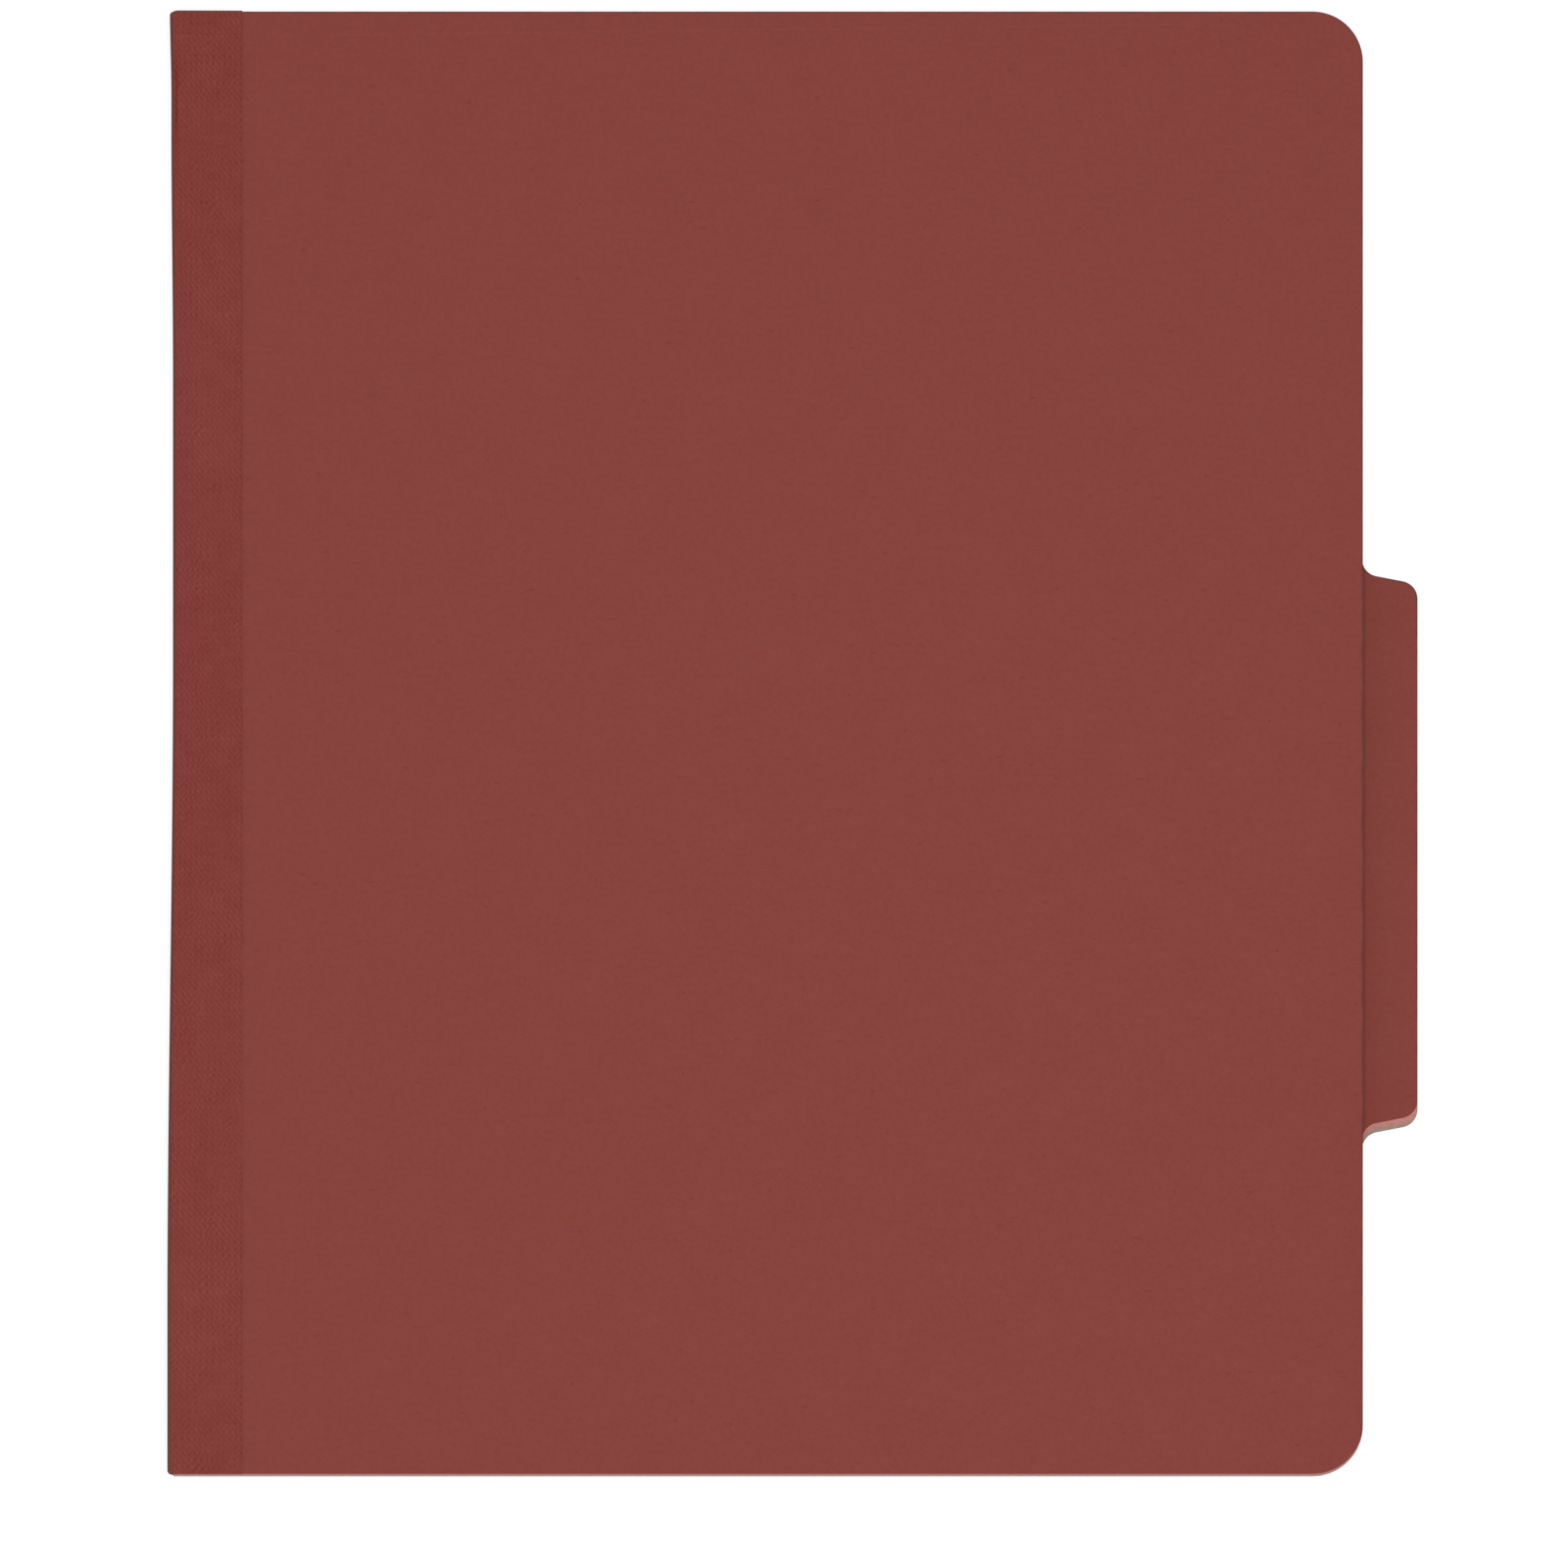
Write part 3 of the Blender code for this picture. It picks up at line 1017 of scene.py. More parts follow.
@dataclass(frozen=True)
class KraftFinish:
    """Uncoated brown board with long fibres, a shade paler where it is cut."""

    face: Colour = (0.420, 0.262, 0.140)
    cut: Colour = (0.500, 0.350, 0.215)
    fibres: Grain = Grain((220.0, 1500.0, 1500.0), (0.93, 1.05), 4.0)
    clouds: Grain = Grain((24.0, 24.0, 24.0), (-0.03, 0.03), 3.0)
    flecks: Flecks = Flecks((420.0, 1700.0, 900.0), 0.28, 0.7)
    fleck_depth: float = 0.15
    relief: float = 0.03 * MM
    roughness: float = 0.82
    specular: float = 0.2

    def build(self, name: str, colour: Colour) -> Material:
        """Makes the finish in one colour.

        Args:
            name: The material's name.
            colour: The colour.

        Returns:
            The material.
        """
        tree = Surface(name)
        level = tree.math("ADD", tree.vary(self.fibres), tree.vary(self.clouds))
        dark = tree.math("MULTIPLY", tree.flecks(self.flecks), self.fleck_depth)
        level = tree.math("SUBTRACT", level, dark)
        tree.bump(tree.noise(self.fibres), self.relief)
        return tree.finish(tree.shade(colour, level), self.roughness, self.specular)

    def all(self, name: str) -> list[Material]:
        """The materials in the order of `Band`."""
        faces, edges = self.build(name + "_face", self.face), self.build(name + "_edge", self.cut)
        return [faces, edges, edges]


@dataclass(frozen=True)
class PaperFinish:
    """Plain off-white reinforcing paper."""

    colour: Colour = (0.660, 0.615, 0.530)
    fibres: Grain = Grain((700.0, 700.0, 700.0), (0.95, 1.04), 4.0)
    relief: float = 0.03 * MM
    roughness: float = 0.85
    specular: float = 0.2

    def build(self, name: str) -> Material:
        """Makes the finish.

        Args:
            name: The material's name.

        Returns:
            The material.
        """
        tree = Surface(name)
        tree.bump(tree.noise(self.fibres), self.relief)
        return tree.finish(tree.shade(self.colour, tree.vary(self.fibres)), self.roughness, self.specular)


@dataclass(frozen=True)
class SteelFinish:
    """Bright tinned strip, made by rolling along its length, with fine draw lines.

    The lines are its roughness, the bloom varies its colour, and the haze is what the bloom adds to the
    roughness.
    """

    colour: Colour = (0.500, 0.497, 0.488)
    lines: Grain = Grain((60.0, 3200.0, 3200.0), (0.28, 0.36))
    bloom: Grain = Grain((260.0, 260.0, 260.0), (0.96, 1.03), 3.0)
    haze: Span = (-0.02, 0.03)
    relief: float = 0.003 * MM
    specular: float = 0.5
    metallic: float = 1.0

    def build(self, name: str) -> Material:
        """Makes the finish.

        Args:
            name: The material's name.

        Returns:
            The material.
        """
        tree = Surface(name)
        tree.bump(tree.noise(self.lines), self.relief)
        roughness = tree.math("ADD", tree.vary(self.lines), tree.vary(self.bloom, self.haze))
        colour = tree.shade(self.colour, tree.vary(self.bloom))
        return tree.finish(colour, roughness, self.specular, self.metallic)


# Sub-assemblies


def pivot(frame: dict, joint: str) -> Vector:
    """Where a joint of the frame turns."""
    return Vector(next(item["pos_m"] for item in frame["joints"] if item["name"] == joint))


@dataclass
class CoverBoard:
    """A pressboard cover with rounded fore corners, a thin rim painted dark as shade, and a pale cut edge
    with painted light and shade.

    Attributes:
        node: The CAD node that the board stands for, which is its body's name as well.
        finish: The board's finish.
        fore_x: Where its fore edge is.
        lower_bevel: How much shorter its high face is than its low face, at the lower end.
        corner_radius: The fore corners' radius.
        rim_width: The rim's width in plan.
        rim_drop: The rim's height.
        spine_inset: How far its hidden spine edge stays inside the cloth's rounding.
        clean_lean: How far towards the lower end a stretch of edge faces, at least, to have no painted shade
            on its rim.
        arc_steps: How many pieces each corner's arc has.
    """

    node: str
    finish: PressboardFinish
    fore_x: float
    lower_bevel: float = 0.54 * MM
    corner_radius: float = 10.3 * MM
    rim_width: float = 0.36 * MM
    rim_drop: float = 0.08 * MM
    spine_inset: float = 0.40 * MM
    clean_lean: float = 0.3
    arc_steps: int = 28

    def outline(self, share: float) -> list[Vector]:
        """The edge in plan.

        Args:
            share: How far up the cut edge, from 0 to 1.

        Returns:
            The outline, counter-clockwise.
        """
        low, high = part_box(self.node)
        corners = rectangle(
            Vector((low.x + self.spine_inset, low.y + self.lower_bevel * share)),
            Vector((self.fore_x, high.y)),
        )
        return round_corners(corners, (0.0, self.corner_radius, self.corner_radius, 0.0), self.arc_steps)

    def band(self, level: int, outward: Vector) -> Band:
        """Gives every edge a rim painted dark as shade, but the high face's lower one, which takes the face's
        finish.

        Args:
            level: The loop that the band starts from.
            outward: The way that a stretch of it faces.

        Returns:
            The band.
        """
        if level == 1:
            return Band.EDGE
        return Band.FACE if level == 2 and outward.y < -self.clean_lean else Band.RIM

    def build(self) -> Piece:
        """Makes the board.

        Returns:
            The board on its body.
        """
        low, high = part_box(self.node)
        outlines = (self.outline(0.0), self.outline(1.0))
        loops = plate_loops(*outlines, low.z, high.z, self.rim_width, self.rim_drop)
        board = loft_plate(self.node + "_board", loops, self.band, self.finish.all(self.node))
        return dress(board, self.node, self.node, Slot.PRESSBOARD)


@dataclass
class TabbedBoard(CoverBoard):
    """The back cover, whose index tab stands out past the fore edge.

    Attributes:
        tab_length: The tab's length at its root.
        tab_below: How far its middle is below the cover's.
        tab_taper: How much each shoulder falls on its way out.
        root_radius: The hollow where a shoulder leaves the cover.
        tip_radius: The rounding where a shoulder meets the tab's end.
        skive: How much shorter the high face is than the low face, at the lower shoulder.
    """

    lower_bevel: float = 0.0
    tab_length: float = 114.6 * MM
    tab_below: float = 22.5 * MM
    tab_taper: float = 2.2 * MM
    root_radius: float = 3.5 * MM
    tip_radius: float = 3.7 * MM
    skive: float = 1.9 * MM

    def outline(self, share: float) -> list[Vector]:
        """The edge in plan, with the tab.

        Args:
            share: How far up the cut edge, from 0 to 1.

        Returns:
            The outline, counter-clockwise.
        """
        low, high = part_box(self.node)
        top = self.tab_length / 2 - self.tab_below
        bottom = top - self.tab_length + self.skive * share
        spine_x = low.x + self.spine_inset
        corners = [
            Vector((spine_x, low.y)),
            Vector((self.fore_x, low.y)),
            Vector((self.fore_x, bottom)),
            Vector((high.x, bottom + self.tab_taper)),
            Vector((high.x, top - self.tab_taper)),
            Vector((self.fore_x, top)),
            Vector((self.fore_x, high.y)),
            Vector((spine_x, high.y)),
        ]
        fore, root, tip = self.corner_radius, self.root_radius, self.tip_radius
        return round_corners(corners, (0.0, fore, root, tip, tip, root, fore, 0.0), self.arc_steps)


@dataclass
class SpineCloth:
    """The woven cloth that wraps the spine and folds in to form the gusset.

    It is cut in three strips, which meet in the middle of the gusset's two panels, so that each bends at one
    crease. Places in its section are distances from the spine's edge and heights. Places along it are shares
    of the way down.

    Attributes:
        frame: The loaded frame.
        finish: The cloth's finish.
        front_finish: The finish of the strip that shows on the front cover.
        thickness: The cloth's thickness.
        edge_radius: The rounding of the spine's outer edges, at the middle of the cloth.
        fold_radius: The rounding where a lip turns into a panel.
        nose_radius: The rounding of the gusset's inner crease.
        straight_reach: How far a panel runs straight before it spreads to round the inner crease.
        corner_reach: How far along an end the rounding of its outer corner reaches.
        top_drop: How much that rounding takes off at the top end.
        low_drop: How much that rounding takes off at the lower end.
        top_proud: How far the front flange stands past the cover at the top of the spine.
        proud_taper: The share of that which is lost across the flange.
        low_short: How far the front flange ends above the cover's lower edge.
        hollow: How far the spine leans in over its upper half.
        hollow_spans: The two stretches over which it comes to lean in.
        bulge: How far the spine leans out at its lower end.
        bulge_span: The stretch over which it comes to lean out.
        bow_reach: How far from the spine that lean starts to fade and has faded out.
        end_shade_reach: How far from the top end its painted shade starts to fade and has faded out.
        edge_shade_reach: The same from the spine's edge, where the painted shade stands for the cloth turning
            over it.
        hem_shade_reach: The same from the flange's hem, where painted shade lines the step onto the cover.
        hem_shade_share: How dark that painted shade at the hem is.
        lip_shade_x: The least distance from the spine's edge that counts for the lips and panels, in that
            painted shade.
        roll_shade_x: Where a line of painted shade lies beside the spine's edge, standing for the cloth
            rolling away from the light.
        roll_shade_reach: How far from there that painted shade starts to fade and has faded out.
        roll_shade_start: The stretch over which that painted shade comes.
        roll_shade_end: The stretch over which it goes.
        lip_bend: The heights of a lip's bend into its panel, which the build reads but does not use.
        nose_bend: How far from the inner crease the gusset's bend reaches, which the build reads but does not
            use.
        hem_width: The width of the hem, where the section's points stand closer.
        edge_width: How far from the spine's edge they stand closer.
        crease_width: How far past a crease they stand closer.
        hem_steps: How many pieces the hem has.
        flange_steps: How many pieces the flange's middle has, and as many beside the spine's edge.
        arc_steps: How many pieces the edge's and the nose's arcs have.
        crease_steps: How many pieces a crease's arc has, and as many beside it.
        panel_steps: How many pieces each further stretch of a panel has.
    """

    frame: dict
    finish: ClothFinish
    front_finish: ClothFinish
    thickness: float = 0.30 * MM
    edge_radius: float = 0.75 * MM
    fold_radius: float = 0.25 * MM
    nose_radius: float = 0.60 * MM
    straight_reach: float = 20.0 * MM
    corner_reach: float = 1.7 * MM
    top_drop: float = 1.0 * MM
    low_drop: float = 0.6 * MM
    top_proud: float = 0.24 * MM
    proud_taper: float = 0.25
    low_short: float = 0.50 * MM
    hollow: float = 0.66 * MM
    hollow_spans: tuple[Span, Span] = ((-0.01, 0.06), (0.08, 0.25))
    bulge: float = 0.48 * MM
    bulge_span: Span = (0.44, 0.89)
    bow_reach: Span = (1.0 * MM, 9.0 * MM)
    end_shade_reach: Span = (0.05 * MM, 0.45 * MM)
    edge_shade_reach: Span = (0.15 * MM, 0.80 * MM)
    hem_shade_reach: Span = (0.10 * MM, 0.35 * MM)
    hem_shade_share: float = 0.04
    lip_shade_x: float = 0.4 * MM
    roll_shade_x: float = 1.1 * MM
    roll_shade_reach: Span = (0.10 * MM, 0.45 * MM)
    roll_shade_start: Span = (0.015, 0.050)
    roll_shade_end: Span = (0.060, 0.130)
    lip_bend: Span = (1.0 * MM, 1.75 * MM)
    nose_bend: float = 0.55 * MM
    hem_width: float = 0.4 * MM
    edge_width: float = 2.4 * MM
    crease_width: float = 2.5 * MM
    hem_steps: int = 4
    flange_steps: int = 14
    arc_steps: int = 10
    crease_steps: int = 8
    panel_steps: int = 6

    def __post_init__(self) -> None:
        """Reads the spine's place and creases from the frame."""
        low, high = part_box("back_spine_tape")
        self.spine_x = low.x
        self.tape_width = high.x - low.x
        self.half_length = high.y
        self.back_fold = self.section_point("folder_open")
        self.valley = self.section_point("gusset_unfold")

    def section_point(self, joint: str) -> Vector:
        """A joint's place in the cloth's section."""
        place = pivot(self.frame, joint)
        return Vector((place.x - self.spine_x, place.z))

    def mirrored(self, section: Sequence[Vector]) -> list[Vector]:
        """The section's other half, on the far side of the inner crease."""
        return [Vector((point.x, 2 * self.valley.y - point.y)) for point in reversed(section)]

    def half_section(self) -> tuple[list[Vector], list[Vector], list[Vector]]:
        """The back half of the section.

        Returns:
            The points of the back flange, those from there to the middle of the back panel, and those from
            there to the inner crease.
        """
        middle = self.thickness / 2
        along = (self.valley - self.back_fold).normalized()
        corner = Vector((middle, middle))
        fold = Vector((middle, self.back_fold.y - (self.back_fold.x - middle) * along.y / along.x))
        flange_end = Vector((self.tape_width, middle))
        hem = Vector((self.tape_width - self.hem_width, middle))
        near_edge = Vector((self.edge_width, middle))
        near_crease = fold + along * self.crease_width
        half_way = fold + along * (self.straight_reach / 2)
        spread_point = fold + along * self.straight_reach
        reach = self.valley - spread_point
        lean = Matrix.Rotation(-asin(self.nose_radius / reach.length), 2) @ reach.normalized()
        nose_start = Vector((lean.y, -lean.x)) * self.nose_radius
        edge = fillet(flange_end, corner, fold, self.edge_radius, self.arc_steps)
        crease = fillet(corner, fold, spread_point, self.fold_radius, self.crease_steps)
        flange = spread(flange_end, hem, self.hem_steps) + spread(hem, near_edge, self.flange_steps)
        flange += spread(near_edge, edge[0], self.flange_steps) + edge
        panel = crease + spread(crease[-1], near_crease, self.crease_steps)[1:]
        panel += spread(near_crease, half_way, self.panel_steps) + [half_way]
        nose = spread(half_way, spread_point, self.panel_steps)
        nose += spread(spread_point, self.valley + nose_start, self.panel_steps)
        turn = pi / 2 - asin(lean.y)
        for step in range(self.arc_steps):
            nose.append(self.valley + Matrix.Rotation(turn * step / self.arc_steps, 2) @ nose_start)
        return flange, panel, nose

    def down(self, y: float) -> float:
        """The share of the way down the spine at which a place lies."""
        return (self.half_length - y) / (2 * self.half_length)

    def bow(self, point: Vector, y: float) -> float:
        """How the cloth bows along x: in over the spine's upper half, and out at its lower end.

        Args:
            point: A point of the section.
            y: Its place along the spine.

        Returns:
            How far the point leans in.
        """
        down = self.down(y)
        lean = self.hollow / 2 * sum(smoothstep(span, down) for span in self.hollow_spans)
        lean -= (self.hollow + self.bulge) * smoothstep(self.bulge_span, down)
        return lean * fade(self.bow_reach, point.x)

    def retreat(self, x: float, drop: float) -> float:
        """How much a rounded corner takes off the flange's end, at a distance from the spine."""
        inside = 1.0 - min(max(x - self.thickness / 2, 0.0) / self.corner_reach, 1.0)
        return drop * (1.0 - sqrt(1.0 - inside * inside))

    def painted_shade_at(self, x: float, y: float, high: float) -> float:
        """How much painted shade the cloth has at its top end, its spine's edge and its hem, and in the dark
        line beside that edge.

        Args:
            x: A point's distance from the spine's edge.
            y: Its place along the spine.
            high: The cloth's top end there.

        Returns:
            The painted shade at the edges, from 0 to 1, or that of the dark line beside the spine's edge,
            from 0 to -1.
        """
        down = self.down(y)
        # Painted shade: darker at the top end, along the spine's edge where the cloth turns over it, and
        # beside the hem.
        end = fade(self.end_shade_reach, high - y)
        edge = fade(self.edge_shade_reach, x)
        hem = self.hem_shade_share * fade(self.hem_shade_reach, self.tape_width - x)
        # Painted shade: a dark line beside the spine's edge, over part of the spine's length.
        beside = fade(self.roll_shade_reach, abs(x - self.roll_shade_x))
        roll_shade_line = beside * smoothstep(self.roll_shade_start, down) * fade(self.roll_shade_end, down)
        return max(end, edge, hem) - roll_shade_line

    def ribbon(self, name: str, section: list[Vector], flange: range, front: bool) -> Ribbon:
        """One strip, whose flange has rounded corners and whose panels end level with them.

        Args:
            name: The strip's name.
            section: Its section.
            flange: Which points of the section are on a flange.
            front: Whether its flange is on the front cover, where the cut edge shows below it.

        Returns:
            The strip, not yet built.
        """

        def ends(index: int) -> Span:
            """Where the strip ends.

            Args:
                index: A point of the section.

            Returns:
                Its lowest and highest y.
            """
            x = section[index].x if index in flange else 0.0
            low = -self.half_length + self.retreat(x, self.low_drop)
            high = self.half_length - self.retreat(x, self.top_drop)
            if not front:
                return low, high
            kept = 1.0 if index in flange else fade(self.bow_reach, section[index].x)
            proud = self.top_proud * (1.0 - self.proud_taper * x / self.tape_width)
            return low + self.low_short * kept, high + proud * kept

        def painted_shade_at(index: int, y: float) -> float:
            """The painted shade of a point of the section at a given y."""
            x = section[index].x if index in flange else max(section[index].x, self.lip_shade_x)
            return self.painted_shade_at(x, y, ends(index)[1])

        return Ribbon(name, section, ends, self.thickness, self.spine_x, self.bow, painted_shade_at)

    def build(self) -> list[Piece]:
        """Makes the three strips.

        Returns:
            The strips, from the back cover to the front.
        """
        flange, panel, nose = self.half_section()
        half = flange + panel
        gusset = nose + [self.valley + Vector((self.nose_radius, 0.0))] + self.mirrored(nose)
        back = self.ribbon("spine_cloth_back", half, range(len(flange)), False)
        middle = self.ribbon("spine_cloth_gusset", gusset, range(0), False)
        front = self.ribbon("spine_cloth_front", self.mirrored(half), range(len(panel), len(half)), True)
        low, high = self.lip_bend
        crease, top = self.valley.y, 2 * self.valley.y
        plans = [
            (back, "back_cover", "gusset_back", low, high),
            (middle, "gusset_back", "gusset_front", crease - self.nose_bend, crease + self.nose_bend),
            (front, "gusset_front", "front_cover", top - high, top - low),
        ]
        stands_for = [
            ("back_spine_tape", "back_spine_fold"),
            ("gusset_back_panel", "gusset_centre_fold", "gusset_front_panel"),
            ("front_spine_fold", "front_spine_tape"),
        ]
        plain = self.finish.build("spine_cloth")
        materials = [plain, plain, self.front_finish.build("front_spine_cloth")]
        strips = []
        across = 0.0
        for plan, nodes, material in zip(plans, stands_for, materials):
            ribbon, start_body, end_body, start_z, end_z = plan
            strip = ribbon.build(material, across)
            across += ribbon.width()
            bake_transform(strip)
            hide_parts(*nodes)
            ribbon.width()
            ribbon.length()
            list(nodes)
            strips.append(strip)
        return strips


@dataclass
class Divider:
    """A leaf of kraft board on a cloth hinge, which is glued to one panel of the gusset.

    Attributes:
        frame: The loaded frame.
        spine: The spine cloth, which has the gusset.
        name: The divider's body.
        panel: The gusset's body that the hinge is glued to, which is not used.
        facing: The side of the leaf that the hinge is on.
        cloth: The hinge's material.
        board: The leaf's materials, in the order of `Band`.
        corner_radius: The leaf's fore corners.
        corner_steps: How many pieces each of their arcs has.
        rim: The rounding of the leaf's edges.
        glue_width: The width of cloth that is glued to the panel.
        glue_drop: How much nearer to the panel than the turning line its end is.
        leaf_gap: How far short of the leaf the cloth comes level with it.
        turn_radius: The cloth's bend at the turning line.
        turn_steps: How many pieces that bend has.
        lay_radius: Its bend where it comes level with the leaf.
        run_steps: How many pieces the free stretch between the bends has.
        steps: How many pieces that second bend and each of the glued stretches has.
        spans: How many even faces the hinge has along the spine.
        bend_reach: How far to each side of the turning line the hinge's bend reaches, which the hinge works
            out but does not use.
        end_shade_reach: How far from an end its painted shade starts to fade and has faded out.
        end_shade_share: How dark that painted shade at the ends is.
    """

    frame: dict
    spine: SpineCloth
    name: str
    panel: str
    facing: Facing
    cloth: Material
    board: list[Material]
    corner_radius: float = 10.3 * MM
    corner_steps: int = 24
    rim: float = 0.08 * MM
    glue_width: float = 8.0 * MM
    glue_drop: float = 0.12 * MM
    leaf_gap: float = 0.6 * MM
    turn_radius: float = 6.0 * MM
    turn_steps: int = 10
    lay_radius: float = 12.0 * MM
    run_steps: int = 8
    steps: int = 6
    spans: int = 40
    bend_reach: float = 0.5 * MM
    end_shade_reach: Span = (0.0, 0.4 * MM)
    end_shade_share: float = 0.6

    def leaf(self) -> Piece:
        """Makes the leaf.

        Returns:
            The leaf on its body.
        """
        node = self.name + "_leaf"
        low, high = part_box(node)
        radii = (0.0, self.corner_radius, self.corner_radius, 0.0)
        outline = round_corners(rectangle(low, high), radii, self.corner_steps)
        loops = plate_loops(outline, outline, low.z, high.z, self.rim, self.rim)
        piece = loft_plate(self.name + "_board", loops, lambda level, outward: Band.EDGE, self.board)
        return dress(piece, self.name, node, Slot.LEAF)

    def hinge_section(self) -> list[Vector]:
        """The hinge's section.

        Returns:
            Its points, from the glued width over the turning line to its end on the leaf.
        """
        anchor = self.spine.section_point(self.name + "_turn")
        fold = self.spine.section_point("folder_open" if self.facing is Facing.DOWN else "cover_turn")
        along = (self.spine.valley - fold).normalized()
        to_panel = Vector((0.0, -self.facing.value * self.glue_drop))
        tape_low, tape_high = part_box(self.name + "_edge_tape")
        leaf_low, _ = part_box(self.name + "_leaf")
        height = (tape_low.z + tape_high.z) / 2
        start = anchor - along * self.glue_width + to_panel
        bend = Vector((leaf_low.x - self.spine.spine_x - self.leaf_gap, height))
        end = Vector((tape_high.x - self.spine.spine_x, height))
        turn = fillet(start, anchor, bend, self.turn_radius, self.turn_steps)
        lay = fillet(anchor, bend, end, self.lay_radius, self.steps)
        path = spread(start, turn[0], self.steps) + turn
        path += spread(turn[-1], lay[0], self.run_steps)[1:] + lay
        return path + spread(lay[-1], end, self.steps)[1:] + [end]

    def hinge(self) -> Piece:
        """Makes the cloth hinge.

        Returns:
            The hinge.
        """
        low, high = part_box(self.name + "_edge_tape")
        place = pivot(self.frame, self.name + "_turn")
        ribbon = Ribbon(
            self.name + "_hinge_cloth",
            self.hinge_section(),
            lambda index: (low.y, high.y),
            self.spine.thickness,
            self.spine.spine_x,
            lambda point, y: 0.0,
            # Painted shade along the hinge's two ends.
            lambda index, y: self.end_shade_share * fade(self.end_shade_reach, min(y - low.y, high.y - y)),
            self.spans,
        )
        piece = ribbon.build(self.cloth)
        start, end = (place.x - self.bend_reach, 0.0, 0.0), (place.x + self.bend_reach, 0.0, 0.0)
        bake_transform(piece)
        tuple(start)
        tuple(end)
        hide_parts(self.name + "_hinge_tape", self.name + "_edge_tape")
        ribbon.width()
        ribbon.length()
        return piece

    def build(self) -> list[Piece]:
        """Makes the leaf and its hinge."""
        return [self.leaf(), self.hinge()]


@dataclass
class PaperFastener:
    """A steel strip with two prongs, which rise at its ends and fold flat over the paper.

    Attributes:
        name: The start of its nodes' names.
        body: The body that carries the strip.
        facing: The side that its prongs are on.
        steel: The steel's material.
        edge: The rounding of the strip's edges.
        base_wall: The thickness of the strip that carries the prongs.
        end_flat: Half the width that stays flat at a round end.
        arc_steps: How many pieces each arc has.
        root_gap: How far a prong's flat part starts from the line that it turns about.
        knuckle_radius: The rounding of the bend at a prong's root.
        knuckle_foot: Half the width of that bend where it meets the strip.
        knuckle_sink: How far into the strip it goes.
        knuckle_start: The angle at which its arc starts.
        knuckle_sweep: The angle that its arc turns through.
        bead_width: Half the width of the ridge that stiffens a prong.
        bead_slope: How far beside it the ridge starts to rise.
        bead_height: The ridge's height.
    """

    name: str
    body: str
    facing: Facing
    steel: Material
    edge: float = 0.06 * MM
    base_wall: float = 0.30 * MM
    end_flat: float = 0.1 * MM
    arc_steps: int = 12
    root_gap: float = 0.20 * MM
    knuckle_radius: float = 0.26 * MM
    knuckle_foot: float = 0.15 * MM
    knuckle_sink: float = 0.05 * MM
    knuckle_start: float = radians(-50.0)
    knuckle_sweep: float = radians(280.0)
    bead_width: float = 0.75 * MM
    bead_slope: float = 0.3 * MM
    bead_height: float = 0.07 * MM

    def heights(self, node: str) -> Span:
        """A node's near and far heights, as seen from the board that carries the strip."""
        low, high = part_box(node)
        return (low.z, high.z) if self.facing is Facing.UP else (high.z, low.z)

    def root(self, side: Side) -> float:
        """Where a prong turns, along x."""
        low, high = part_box(f"{self.name}_prong_{side.value}")
        return low.x - self.root_gap if side is Side.INNER else high.x + self.root_gap

    def strip_loops(self, outline: list[Vector], near: float, far: float, hole: bool = False) -> list[Loop]:
        """Loops of a thin strip's rounded outside, or of a hole in it.

        Args:
            outline: The outside or the hole in plan.
            near: The height of the strip's face on the board.
            far: The height of its other face.
            hole: Whether the outline is a hole's.

        Returns:
            The loops from the near face to the far one.
        """
        return plate_loops(outline, outline, near, far, -self.edge if hole else self.edge, self.edge)

    def plain_plate(self, name: str, loops: Sequence[Loop]) -> Piece:
        """A steel plate of one finish."""
        return loft_plate(name, loops, lambda level, outward: Band.FACE, [self.steel])

    def prong(self, side: Side) -> Piece:
        """Makes one prong, square at its root, round at its tip and ridged along its middle.

        Args:
            side: Which of the two it is.

        Returns:
            The prong on its body.
        """
        node = f"{self.name}_prong_{side.value}"
        low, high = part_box(node)
        near, far = self.heights(node)
        half = (high.y - low.y) / 2
        tip = half - self.end_flat
        radii = (0.0, tip, tip, 0.0) if side is Side.INNER else (tip, 0.0, 0.0, tip)
        outline = round_corners(rectangle(low, high), radii, self.arc_steps)
        ridge = half - self.bead_width
        loops = self.strip_loops(outline, near, far)
        loops.append(Loop(inset(outline, ridge - self.bead_slope), far, 1.0))
        loops.append(Loop(inset(outline, ridge), far + self.bead_height * self.facing.value, 1.0))
        return dress(self.plain_plate(node + "_strip", loops), node, node, Slot.STEEL)

    def knuckle(self, bm: bmesh.types.BMesh, side: Side, foot: float) -> None:
        """Adds the bend at a prong's root to the strip.

        Args:
            bm: The strip's mesh.
            side: Which prong's bend it is.
            foot: The height that it rises from.
        """
        low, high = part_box(f"{self.name}_prong_{side.value}")
        axis = Vector((self.root(side), (low.z + high.z) / 2))
        profile = [Vector((axis.x + self.knuckle_foot, foot))]
        for step in range(self.arc_steps + 1):
            angle = self.knuckle_start + self.knuckle_sweep * step / self.arc_steps
            arm = Vector((cos(angle), self.facing.value * sin(angle)))
            profile.append(axis + arm * self.knuckle_radius)
        profile.append(Vector((axis.x - self.knuckle_foot, foot)))
        sides = [[bm.verts.new((point.x, y, point.y)) for point in profile] for y in (low.y, high.y)]
        bridge(bm, sides)
        cap(bm, sides)

